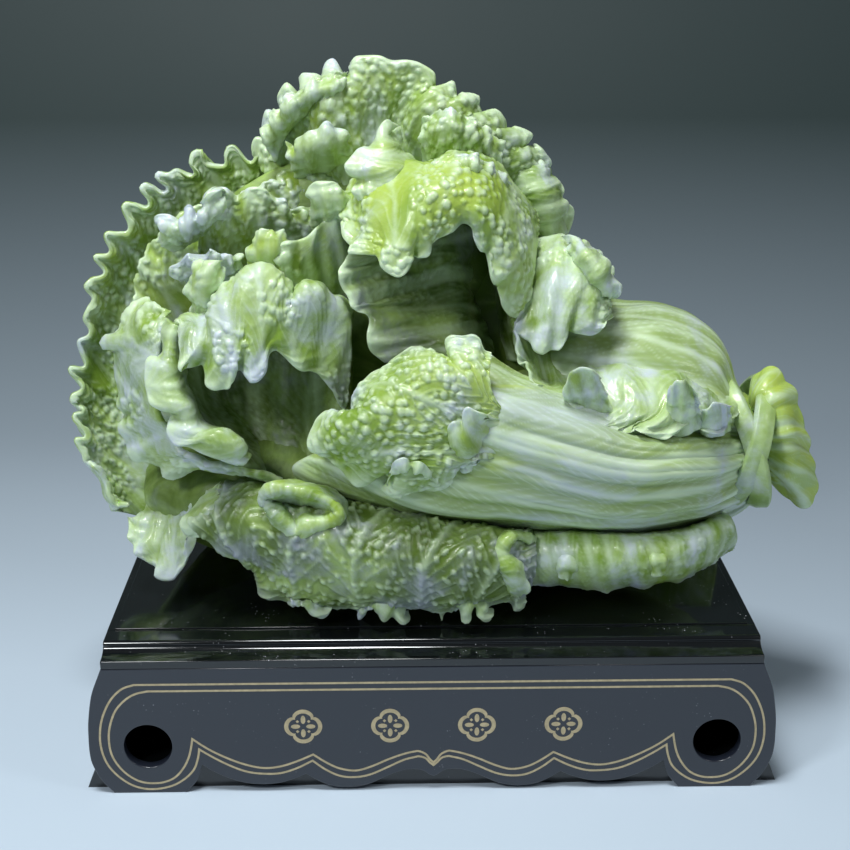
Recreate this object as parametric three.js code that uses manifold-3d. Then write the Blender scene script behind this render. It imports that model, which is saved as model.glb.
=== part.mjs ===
// A jade cabbage carved from one stone, lying on a lacquered wooden stand with scroll ends.
// Millimetres, +Z up. The origin is the middle of the stand's underside, and the front faces -Y.
import * as THREE from "three";
import { mergeVertices } from "three/addons/utils/BufferGeometryUtils.js";
import Module from "manifold-3d";

const wasm = await Module();
wasm.setup();

// Clearances and cutting
const joint_gap = 0.3; // between a piece and the neighbour that is cut for it
const cut_overrun = 2; // how far a cutting tool runs past the face that it cuts

// The stand as a whole
const stand_width = 345; // across the platform
const stand_depth = 170; // front panel's face to back panel's face
const panel_height = 73.5;
const panel_thickness = 6;

// The scroll ends of the panels
const bulge_reach = 9; // how far each end swells past the platform's end
const bulge_control_height = 55;
const scroll_radius = 31;
const scroll_height = 28; // centre of each scroll over the floor
const eye_radius = 12.6; // the round hole in each scroll

// The scalloped lower edge of the panels, from the scroll to the middle
const scroll_cusp_inset = 49.9; // each inset is measured from the platform's end
const scroll_cusp_z = 16.4;
const outer_scallop_inset = 81.9;
const outer_scallop_z = 4.2;
const small_cusp_inset = 104.7;
const small_cusp_z = 10.3;
const inner_scallop_inset = 125;
const inner_scallop_z = 1.9;
const bracket_x = 12;
const bracket_z = 12.4;
const middle_tip_z = 8.2;

// The platform board and its moulding
const fascia_height = 4.5;
const cove_height = 3.5;
const cove_depth = 10;
const nose_height = 2.5;
const nose_depth = 2.5;
const deck_step = 1; // the raised field on top of the board
const deck_front_margin = 24; // from the panel's face to the field
const deck_side_margin = 4;

// The base board
const base_thickness = 14;
const base_bottom_reach = 12.5; // how far its underside runs past the platform's ends
const base_top_reach = 7; // and its upper face

// The hidden framing
const end_thickness = 9;
const rib_thickness = 9;
const rib_place = 72; // each rib's distance from the middle
const batten_length = 256;
const batten_side = 12;
const batten_screw_place = 100; // each screw's distance from the middle
const screw_head_radius = 3.6;
const screw_shank_radius = 1.75;
const screw_length = 18;
const screw_head_height = 2.4;
const screw_tip_height = 3;
const screw_sides = 12;

// The carving's own box
const carving_left = -200;
const carving_length = 417;
const carving_front = -75;
const carving_depth = 150;
const carving_height = 287;
const carving_lift_gap = 0.3; // between the ground foot and the deck
const leaf_edge = 3.2; // thickness of a leaf at its free edge
const leaf_root = 7.3; // thickness of a leaf where it grows from the head
const small_leaf_root = 4.5; // and of a small leaf
const ruffle_height = 2.2; // how far a frill swings to each side of its leaf
const ruffle_length = 26; // one whole wave of a frill
const leaf_facet_length = 12; // length of a leaf's facets along its edge
const rib_height = 2.4; // of the ribs along the stems and the roots
const stem_ribs = 8;
const root_ribs = 9;
const foot_height = 24;
const foot_length = 190;
const foot_width = 64;
const foot_place = 24; // the foot's centre, to the right of the stand's middle

// The tie around the stem's end
const tie_radius = 4.2;

// Every leaf is a net of points placed as they are seen from the front, a little above:
// [across, down, depth], with across and down as shares of the view and depth as a share of
// the carving's depth from its front. The first row is where the leaf grows, the last its edge.
const view_eye_shares = [0.435, -4.713, 1.241]; // the eye, in shares of the carving's box
const view_reach_share = 1.5; // distance of the view's plane, in widths of the view
const view_middle_share = 0.425;
const view_dip_share = 0.338; // the view's slope downwards
const view_turn_share = 0.02; // and its turn to the right
const depth_share = 417 / 150; // the carving's length over its depth
const height_share = 417 / 287; // and over its height

const leaves_shares = {
  front_stem: [
    [[0.735, 0.505, 0.42], [0.741, 0.49, 0.3], [0.743, 0.47, 0.24], [0.741, 0.45, 0.26],
      [0.736, 0.432, 0.36]],
    [[0.64, 0.53, 0.35], [0.645, 0.508, 0.14], [0.65, 0.48, 0.06], [0.655, 0.452, 0.08],
      [0.66, 0.432, 0.22]],
    [[0.54, 0.528, 0.33], [0.545, 0.5, 0.1], [0.55, 0.468, 0.04], [0.57, 0.435, 0.05],
      [0.59, 0.405, 0.18]],
    [[0.43, 0.516, 0.3], [0.42, 0.492, 0.1], [0.44, 0.455, 0.08], [0.49, 0.405, 0.08],
      [0.53, 0.37, 0.18]],
    [[0.33, 0.49, 0.27], [0.292, 0.468, 0.2], [0.34, 0.44, 0.16], [0.42, 0.39, 0.16],
      [0.497, 0.336, 0.2]],
  ],
  front_leaf: [
    [[0.508, 0.455, 0.05], [0.505, 0.452, 0.04], [0.502, 0.447, 0.03], [0.5, 0.442, 0.03],
      [0.5, 0.437, 0.03], [0.5, 0.432, 0.03], [0.502, 0.428, 0.03], [0.505, 0.422, 0.04],
      [0.508, 0.418, 0.06]],
    [[0.485, 0.45, 0.02], [0.455, 0.462, 0], [0.42, 0.462, -0.02], [0.385, 0.45, -0.03],
      [0.37, 0.428, -0.03], [0.395, 0.405, -0.02], [0.43, 0.385, 0], [0.462, 0.375, 0.02],
      [0.49, 0.385, 0.03]],
    [[0.475, 0.458, 0.04], [0.43, 0.487, 0.05], [0.385, 0.487, 0.06], [0.34, 0.468, 0.08],
      [0.316, 0.435, 0.1], [0.35, 0.395, 0.1], [0.4, 0.355, 0.12], [0.45, 0.34, 0.14], [0.49, 0.35, 0.1]],
  ],
  bottom_leaf: [
    [[0.21, 0.49, 0.45], [0.25, 0.48, 0.42], [0.338, 0.5, 0.4], [0.42, 0.515, 0.4], [0.49, 0.527, 0.4],
      [0.532, 0.532, 0.4]],
    [[0.205, 0.5, 0.26], [0.25, 0.49, 0.2], [0.338, 0.508, 0.14], [0.42, 0.521, 0.13],
      [0.49, 0.532, 0.14], [0.532, 0.536, 0.17]],
    [[0.19, 0.52, 0.18], [0.252, 0.52, 0.08], [0.335, 0.54, 0.02], [0.42, 0.555, 0],
      [0.49, 0.558, 0.02], [0.534, 0.555, 0.1]],
    [[0.205, 0.54, 0.18], [0.258, 0.56, 0.1], [0.33, 0.585, 0.04], [0.42, 0.592, 0.02],
      [0.485, 0.59, 0.04], [0.53, 0.582, 0.12]],
    [[0.238, 0.545, 0.24], [0.264, 0.585, 0.2], [0.32, 0.606, 0.14], [0.4, 0.612, 0.1],
      [0.465, 0.612, 0.1], [0.52, 0.602, 0.15]],
  ],
  bottom_lip: [
    [[0.275, 0.497, 0.16], [0.3, 0.494, 0.15], [0.325, 0.503, 0.15], [0.33, 0.509, 0.15],
      [0.32, 0.514, 0.15], [0.3, 0.516, 0.15], [0.287, 0.508, 0.15], [0.276, 0.499, 0.16]],
    [[0.268, 0.494, 0.05], [0.298, 0.487, 0.02], [0.33, 0.498, 0.02], [0.34, 0.511, 0.03],
      [0.326, 0.523, 0.02], [0.3, 0.526, 0.01], [0.281, 0.513, 0.02], [0.268, 0.496, 0.04]],
  ],
  bottom_frill: [
    [[0.53, 0.532, 0.4], [0.575, 0.536, 0.4], [0.63, 0.539, 0.4], [0.685, 0.535, 0.42],
      [0.722, 0.518, 0.45]],
    [[0.525, 0.538, 0.2], [0.575, 0.541, 0.14], [0.63, 0.544, 0.13], [0.685, 0.54, 0.17],
      [0.728, 0.522, 0.3]],
    [[0.528, 0.56, 0.14], [0.575, 0.564, 0.08], [0.63, 0.566, 0.08], [0.685, 0.562, 0.14],
      [0.732, 0.535, 0.3]],
    [[0.532, 0.58, 0.22], [0.575, 0.587, 0.2], [0.625, 0.586, 0.2], [0.68, 0.577, 0.24],
      [0.726, 0.55, 0.38]],
  ],
  left_low_leaf: [
    [[0.15, 0.5, 0.5], [0.162, 0.5, 0.48], [0.176, 0.492, 0.46], [0.192, 0.486, 0.42],
      [0.215, 0.48, 0.38]],
    [[0.134, 0.518, 0.46], [0.15, 0.532, 0.4], [0.168, 0.535, 0.36], [0.184, 0.525, 0.34],
      [0.2, 0.506, 0.32]],
    [[0.127, 0.514, 0.46], [0.135, 0.546, 0.4], [0.158, 0.574, 0.32], [0.184, 0.57, 0.28],
      [0.193, 0.531, 0.28]],
  ],
  back_left_leaf: [
    [[0.2, 0.52, 0.6], [0.195, 0.46, 0.62], [0.19, 0.4, 0.64], [0.195, 0.35, 0.66], [0.205, 0.3, 0.68],
      [0.22, 0.26, 0.7], [0.245, 0.23, 0.72], [0.29, 0.2, 0.76]],
    [[0.14, 0.515, 0.64], [0.13, 0.46, 0.68], [0.125, 0.4, 0.7], [0.13, 0.34, 0.73],
      [0.145, 0.285, 0.75], [0.175, 0.24, 0.77], [0.21, 0.21, 0.78], [0.26, 0.185, 0.79]],
    [[0.115, 0.51, 0.58], [0.096, 0.46, 0.6], [0.09, 0.4, 0.64], [0.097, 0.33, 0.68],
      [0.117, 0.265, 0.7], [0.152, 0.21, 0.72], [0.205, 0.175, 0.75], [0.26, 0.165, 0.77]],
    [[0.112, 0.525, 0.5], [0.084, 0.47, 0.52], [0.077, 0.4, 0.56], [0.084, 0.335, 0.6],
      [0.102, 0.257, 0.62], [0.146, 0.192, 0.65], [0.2, 0.157, 0.7], [0.262, 0.15, 0.74]],
  ],
  back_top_leaf: [
    [[0.33, 0.25, 0.76], [0.35, 0.235, 0.72], [0.375, 0.225, 0.7], [0.4, 0.22, 0.72],
      [0.43, 0.22, 0.68], [0.46, 0.23, 0.7], [0.485, 0.245, 0.74], [0.505, 0.265, 0.78]],
    [[0.29, 0.2, 0.74], [0.31, 0.15, 0.66], [0.335, 0.118, 0.56], [0.39, 0.12, 0.66],
      [0.432, 0.115, 0.56], [0.478, 0.145, 0.58], [0.515, 0.18, 0.64], [0.545, 0.24, 0.74]],
    [[0.256, 0.152, 0.76], [0.275, 0.102, 0.7], [0.315, 0.072, 0.64], [0.37, 0.058, 0.6],
      [0.432, 0.074, 0.6], [0.49, 0.11, 0.64], [0.54, 0.152, 0.7], [0.568, 0.228, 0.78]],
  ],
  left_back_leaf: [
    [[0.23, 0.38, 0.7], [0.25, 0.33, 0.7], [0.28, 0.3, 0.7], [0.31, 0.28, 0.7], [0.34, 0.26, 0.7],
      [0.375, 0.24, 0.7]],
    [[0.172, 0.34, 0.66], [0.19, 0.285, 0.62], [0.235, 0.242, 0.62], [0.282, 0.222, 0.62],
      [0.322, 0.2, 0.64], [0.36, 0.185, 0.66]],
    [[0.13, 0.31, 0.6], [0.145, 0.248, 0.6], [0.195, 0.205, 0.6], [0.25, 0.188, 0.6],
      [0.295, 0.165, 0.64], [0.35, 0.135, 0.68]],
  ],
  left_mid_leaf: [
    [[0.205, 0.28, 0.58], [0.225, 0.275, 0.58], [0.245, 0.265, 0.6], [0.265, 0.255, 0.6],
      [0.29, 0.25, 0.6], [0.33, 0.25, 0.6]],
    [[0.2, 0.25, 0.52], [0.212, 0.235, 0.49], [0.232, 0.222, 0.48], [0.258, 0.217, 0.5],
      [0.29, 0.222, 0.53], [0.322, 0.222, 0.56]],
    [[0.2, 0.222, 0.49], [0.206, 0.195, 0.46], [0.225, 0.188, 0.46], [0.258, 0.188, 0.48],
      [0.288, 0.2, 0.52], [0.315, 0.205, 0.56]],
  ],
  left_inner_leaf: [
    [[0.272, 0.305, 0.46], [0.28, 0.305, 0.46], [0.292, 0.303, 0.46], [0.305, 0.305, 0.46],
      [0.325, 0.305, 0.48], [0.35, 0.3, 0.5]],
    [[0.27, 0.285, 0.38], [0.278, 0.275, 0.36], [0.288, 0.268, 0.35], [0.3, 0.265, 0.37],
      [0.322, 0.255, 0.4], [0.348, 0.25, 0.44]],
    [[0.27, 0.27, 0.35], [0.272, 0.258, 0.34], [0.281, 0.246, 0.33], [0.3, 0.24, 0.35],
      [0.32, 0.225, 0.38], [0.341, 0.212, 0.42]],
  ],
  left_leaf: [
    [[0.15, 0.299, 0.5], [0.125, 0.32, 0.5], [0.112, 0.347, 0.5], [0.118, 0.39, 0.46],
      [0.122, 0.428, 0.42], [0.146, 0.46, 0.36], [0.177, 0.475, 0.28], [0.225, 0.473, 0.24],
      [0.28, 0.483, 0.22]],
    [[0.158, 0.304, 0.4], [0.142, 0.328, 0.36], [0.138, 0.36, 0.36], [0.138, 0.4, 0.36],
      [0.15, 0.43, 0.32], [0.172, 0.452, 0.26], [0.2, 0.463, 0.2], [0.24, 0.468, 0.2],
      [0.282, 0.48, 0.2]],
    [[0.168, 0.31, 0.34], [0.166, 0.335, 0.3], [0.158, 0.362, 0.26], [0.155, 0.395, 0.24],
      [0.168, 0.425, 0.22], [0.185, 0.45, 0.18], [0.21, 0.46, 0.16], [0.245, 0.467, 0.16],
      [0.284, 0.48, 0.19]],
  ],
  left_roll: [
    [[0.182, 0.33, 0.36], [0.184, 0.35, 0.36], [0.182, 0.375, 0.34], [0.19, 0.4, 0.32],
      [0.202, 0.425, 0.28], [0.226, 0.445, 0.24], [0.248, 0.46, 0.22]],
    [[0.177, 0.326, 0.22], [0.172, 0.35, 0.18], [0.173, 0.378, 0.14], [0.184, 0.404, 0.11],
      [0.2, 0.43, 0.08], [0.228, 0.436, 0.06], [0.246, 0.463, 0.1]],
    [[0.168, 0.318, 0.28], [0.164, 0.345, 0.24], [0.15, 0.362, 0.17], [0.15, 0.402, 0.13],
      [0.169, 0.43, 0.1], [0.195, 0.45, 0.07], [0.236, 0.463, 0.1]],
  ],
  hollow_leaf: [
    [[0.165, 0.335, 0.34], [0.22, 0.34, 0.46], [0.29, 0.35, 0.44], [0.352, 0.36, 0.34]],
    [[0.165, 0.39, 0.26], [0.225, 0.4, 0.5], [0.29, 0.4, 0.46], [0.352, 0.4, 0.3]],
    [[0.19, 0.43, 0.22], [0.25, 0.44, 0.46], [0.3, 0.44, 0.4], [0.352, 0.44, 0.26]],
    [[0.24, 0.464, 0.2], [0.285, 0.482, 0.36], [0.32, 0.488, 0.3], [0.352, 0.482, 0.22]],
  ],
  left_flap: [
    [[0.215, 0.3, 0.5], [0.228, 0.293, 0.48], [0.245, 0.29, 0.46], [0.262, 0.29, 0.46],
      [0.278, 0.298, 0.46], [0.296, 0.3, 0.46], [0.322, 0.3, 0.46], [0.352, 0.31, 0.46]],
    [[0.192, 0.306, 0.3], [0.21, 0.305, 0.22], [0.23, 0.298, 0.2], [0.25, 0.29, 0.19],
      [0.268, 0.298, 0.19], [0.288, 0.294, 0.19], [0.318, 0.29, 0.21], [0.352, 0.302, 0.28]],
    [[0.18, 0.318, 0.22], [0.2, 0.338, 0.14], [0.225, 0.342, 0.1], [0.245, 0.338, 0.1],
      [0.262, 0.336, 0.11], [0.285, 0.332, 0.14], [0.316, 0.338, 0.19], [0.35, 0.352, 0.26]],
    [[0.178, 0.33, 0.19], [0.184, 0.372, 0.12], [0.21, 0.388, 0.09], [0.235, 0.378, 0.09],
      [0.256, 0.382, 0.1], [0.277, 0.36, 0.14], [0.312, 0.376, 0.2], [0.346, 0.41, 0.28]],
  ],
  hood_leaf: [
    [[0.36, 0.2, 0.7], [0.385, 0.19, 0.68], [0.405, 0.19, 0.66], [0.43, 0.2, 0.66], [0.46, 0.2, 0.68],
      [0.485, 0.205, 0.7], [0.505, 0.23, 0.72], [0.52, 0.26, 0.74]],
    [[0.352, 0.185, 0.5], [0.378, 0.165, 0.46], [0.402, 0.162, 0.42], [0.428, 0.168, 0.4],
      [0.458, 0.155, 0.44], [0.49, 0.165, 0.5], [0.515, 0.19, 0.56], [0.532, 0.22, 0.6]],
    [[0.345, 0.205, 0.38], [0.372, 0.2, 0.26], [0.398, 0.196, 0.2], [0.425, 0.188, 0.18],
      [0.455, 0.178, 0.2], [0.496, 0.196, 0.24], [0.522, 0.225, 0.32], [0.535, 0.25, 0.4]],
    [[0.343, 0.222, 0.32], [0.372, 0.235, 0.18], [0.396, 0.24, 0.1], [0.424, 0.22, 0.11],
      [0.45, 0.2, 0.14], [0.488, 0.222, 0.15], [0.512, 0.26, 0.2], [0.528, 0.29, 0.3]],
    [[0.345, 0.24, 0.3], [0.378, 0.262, 0.14], [0.397, 0.278, 0.08], [0.425, 0.252, 0.11],
      [0.447, 0.222, 0.15], [0.476, 0.246, 0.15], [0.495, 0.282, 0.18], [0.514, 0.318, 0.26]],
  ],
  hood_hollow_leaf: [
    [[0.468, 0.24, 0.5], [0.467, 0.275, 0.46], [0.467, 0.31, 0.42], [0.467, 0.338, 0.36],
      [0.468, 0.358, 0.33]],
    [[0.43, 0.232, 0.56], [0.43, 0.272, 0.52], [0.435, 0.312, 0.46], [0.438, 0.34, 0.36],
      [0.445, 0.36, 0.3]],
    [[0.385, 0.24, 0.46], [0.38, 0.275, 0.44], [0.388, 0.315, 0.4], [0.398, 0.34, 0.32],
      [0.412, 0.362, 0.26]],
    [[0.352, 0.252, 0.28], [0.337, 0.276, 0.24], [0.354, 0.312, 0.22], [0.367, 0.335, 0.21],
      [0.385, 0.363, 0.22]],
  ],
  slit_leaf: [
    [[0.46, 0.225, 0.54], [0.48, 0.235, 0.62], [0.515, 0.255, 0.52]],
    [[0.463, 0.285, 0.5], [0.486, 0.29, 0.64], [0.512, 0.29, 0.48]],
    [[0.467, 0.345, 0.4], [0.49, 0.35, 0.58], [0.515, 0.345, 0.4]],
  ],
  right_leaf: [
    [[0.535, 0.252, 0.7], [0.555, 0.257, 0.72], [0.58, 0.262, 0.7], [0.6, 0.282, 0.68]],
    [[0.536, 0.243, 0.5], [0.56, 0.24, 0.5], [0.588, 0.25, 0.5], [0.612, 0.275, 0.5]],
    [[0.53, 0.275, 0.4], [0.556, 0.272, 0.34], [0.59, 0.28, 0.34], [0.616, 0.29, 0.42]],
    [[0.52, 0.312, 0.32], [0.55, 0.312, 0.26], [0.582, 0.312, 0.27], [0.612, 0.31, 0.36]],
    [[0.514, 0.327, 0.29], [0.545, 0.352, 0.24], [0.572, 0.337, 0.26], [0.6, 0.33, 0.33]],
  ],
  right_low_leaf: [
    [[0.512, 0.322, 0.4], [0.55, 0.335, 0.44], [0.59, 0.345, 0.44], [0.63, 0.36, 0.42],
      [0.67, 0.375, 0.4], [0.7, 0.388, 0.4], [0.732, 0.402, 0.42]],
    [[0.515, 0.345, 0.3], [0.545, 0.368, 0.3], [0.585, 0.385, 0.26], [0.63, 0.4, 0.24],
      [0.67, 0.41, 0.24], [0.7, 0.41, 0.26], [0.733, 0.412, 0.35]],
    [[0.52, 0.362, 0.26], [0.545, 0.405, 0.2], [0.59, 0.431, 0.14], [0.63, 0.428, 0.13],
      [0.665, 0.44, 0.13], [0.7, 0.43, 0.18], [0.733, 0.422, 0.29]],
  ],
  back_stem: [
    [[0.738, 0.42, 0.64], [0.738, 0.408, 0.54], [0.736, 0.412, 0.44], [0.733, 0.428, 0.36]],
    [[0.7, 0.37, 0.8], [0.713, 0.342, 0.62], [0.712, 0.362, 0.44], [0.705, 0.4, 0.32]],
    [[0.655, 0.35, 0.86], [0.67, 0.312, 0.66], [0.665, 0.338, 0.44], [0.66, 0.395, 0.32]],
    [[0.6, 0.34, 0.86], [0.615, 0.306, 0.68], [0.608, 0.332, 0.46], [0.605, 0.39, 0.34]],
    [[0.54, 0.32, 0.86], [0.56, 0.296, 0.68], [0.552, 0.322, 0.48], [0.548, 0.38, 0.36]],
  ],
  rear_leaf: [
    [[0.56, 0.54, 0.8], [0.45, 0.57, 0.9], [0.33, 0.57, 0.92], [0.22, 0.545, 0.86], [0.15, 0.5, 0.7]],
    [[0.6, 0.42, 0.84], [0.47, 0.43, 1], [0.33, 0.43, 1.03], [0.2, 0.43, 0.96], [0.12, 0.42, 0.72]],
    [[0.57, 0.3, 0.82], [0.46, 0.28, 0.98], [0.33, 0.27, 1.02], [0.22, 0.28, 0.94], [0.14, 0.3, 0.76]],
    [[0.535, 0.21, 0.78], [0.45, 0.13, 0.86], [0.34, 0.115, 0.9], [0.25, 0.16, 0.88], [0.17, 0.22, 0.8]],
  ],
  rear_low_leaf: [
    [[0.72, 0.47, 0.86], [0.6, 0.46, 0.94], [0.48, 0.47, 0.98], [0.36, 0.48, 1]],
    [[0.72, 0.52, 0.84], [0.6, 0.53, 0.94], [0.47, 0.54, 0.98], [0.34, 0.53, 0.98]],
    [[0.7, 0.55, 0.76], [0.59, 0.575, 0.84], [0.46, 0.585, 0.88], [0.33, 0.575, 0.88]],
  ],
};

// The smaller curls, lobes and frills between the leaves, placed in the same way
const small_leaves_shares = {
  crown_left_leaf: [
    [[0.408, 0.126, 0.52], [0.428, 0.148, 0.46], [0.438, 0.17, 0.38], [0.43, 0.195, 0.3]],
    [[0.382, 0.128, 0.44], [0.388, 0.15, 0.34], [0.392, 0.174, 0.28], [0.396, 0.204, 0.24]],
    [[0.388, 0.121, 0.44], [0.357, 0.15, 0.36], [0.353, 0.18, 0.3], [0.372, 0.21, 0.26]],
  ],
  right_curl: [
    [[0.565, 0.25, 0.46], [0.571, 0.262, 0.42], [0.577, 0.277, 0.4], [0.585, 0.29, 0.4],
      [0.6, 0.298, 0.4]],
    [[0.57, 0.243, 0.38], [0.584, 0.255, 0.32], [0.596, 0.27, 0.29], [0.603, 0.282, 0.3],
      [0.606, 0.292, 0.33]],
    [[0.563, 0.239, 0.42], [0.58, 0.24, 0.38], [0.602, 0.256, 0.35], [0.616, 0.28, 0.34],
      [0.604, 0.291, 0.34]],
  ],
  left_lobe: [
    [[0.2, 0.323, 0.36], [0.205, 0.324, 0.35], [0.21, 0.322, 0.35]],
    [[0.192, 0.305, 0.32], [0.205, 0.303, 0.28], [0.216, 0.302, 0.3]],
    [[0.187, 0.29, 0.3], [0.205, 0.285, 0.25], [0.222, 0.285, 0.28]],
    [[0.192, 0.274, 0.3], [0.206, 0.268, 0.26], [0.223, 0.27, 0.29]],
    [[0.2, 0.266, 0.32], [0.211, 0.261, 0.29], [0.219, 0.263, 0.3]],
  ],
  left_margin_lobe: [
    [[0.226, 0.482, 0.3], [0.238, 0.5, 0.24], [0.242, 0.52, 0.2], [0.244, 0.54, 0.2]],
    [[0.216, 0.49, 0.26], [0.212, 0.506, 0.17], [0.22, 0.517, 0.15], [0.238, 0.535, 0.16]],
    [[0.221, 0.481, 0.28], [0.19, 0.511, 0.2], [0.2, 0.534, 0.18], [0.234, 0.548, 0.18]],
  ],
  low_right_curl: [
    [[0.535, 0.536, 0.16], [0.51, 0.533, 0.12], [0.495, 0.55, 0.1], [0.499, 0.575, 0.08],
      [0.512, 0.599, 0.1]],
    [[0.536, 0.539, 0.12], [0.513, 0.537, 0.05], [0.501, 0.552, 0.03], [0.512, 0.575, 0.01],
      [0.516, 0.598, 0.06]],
    [[0.535, 0.541, 0.16], [0.515, 0.543, 0.1], [0.511, 0.557, 0.08], [0.526, 0.572, 0.05],
      [0.516, 0.598, 0.08]],
  ],
};

// The two sides of the fan of roots, behind the tie
const roots_shares = {
  front_roots: [
    [[0.753, 0.41, 0.5], [0.755, 0.41, 0.46], [0.758, 0.413, 0.43], [0.76, 0.418, 0.42],
      [0.762, 0.425, 0.41], [0.763, 0.432, 0.41], [0.764, 0.44, 0.42], [0.764, 0.448, 0.43],
      [0.762, 0.455, 0.46], [0.758, 0.46, 0.5]],
    [[0.751, 0.4, 0.48], [0.756, 0.394, 0.42], [0.766, 0.393, 0.38], [0.775, 0.403, 0.36],
      [0.781, 0.418, 0.35], [0.785, 0.435, 0.35], [0.788, 0.452, 0.36], [0.789, 0.468, 0.38],
      [0.78, 0.474, 0.42], [0.765, 0.47, 0.48]],
    [[0.751, 0.392, 0.5], [0.757, 0.377, 0.48], [0.772, 0.371, 0.46], [0.787, 0.388, 0.44],
      [0.797, 0.412, 0.43], [0.803, 0.437, 0.43], [0.809, 0.462, 0.44], [0.815, 0.49, 0.46],
      [0.8, 0.5, 0.48], [0.772, 0.482, 0.5]],
  ],
  back_roots: [
    [[0.753, 0.41, 0.5], [0.755, 0.41, 0.54], [0.758, 0.413, 0.57], [0.76, 0.418, 0.58],
      [0.762, 0.425, 0.59], [0.763, 0.432, 0.59], [0.764, 0.44, 0.58], [0.764, 0.448, 0.57],
      [0.762, 0.455, 0.54], [0.758, 0.46, 0.5]],
    [[0.751, 0.4, 0.52], [0.756, 0.394, 0.58], [0.766, 0.393, 0.62], [0.775, 0.403, 0.64],
      [0.781, 0.418, 0.65], [0.785, 0.435, 0.65], [0.788, 0.452, 0.64], [0.789, 0.468, 0.62],
      [0.78, 0.474, 0.58], [0.765, 0.47, 0.52]],
    [[0.751, 0.394, 0.5], [0.757, 0.38, 0.52], [0.77, 0.375, 0.54], [0.784, 0.392, 0.56],
      [0.793, 0.415, 0.57], [0.799, 0.439, 0.57], [0.804, 0.463, 0.56], [0.809, 0.488, 0.54],
      [0.796, 0.496, 0.52], [0.77, 0.48, 0.5]],
  ],
};

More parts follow.
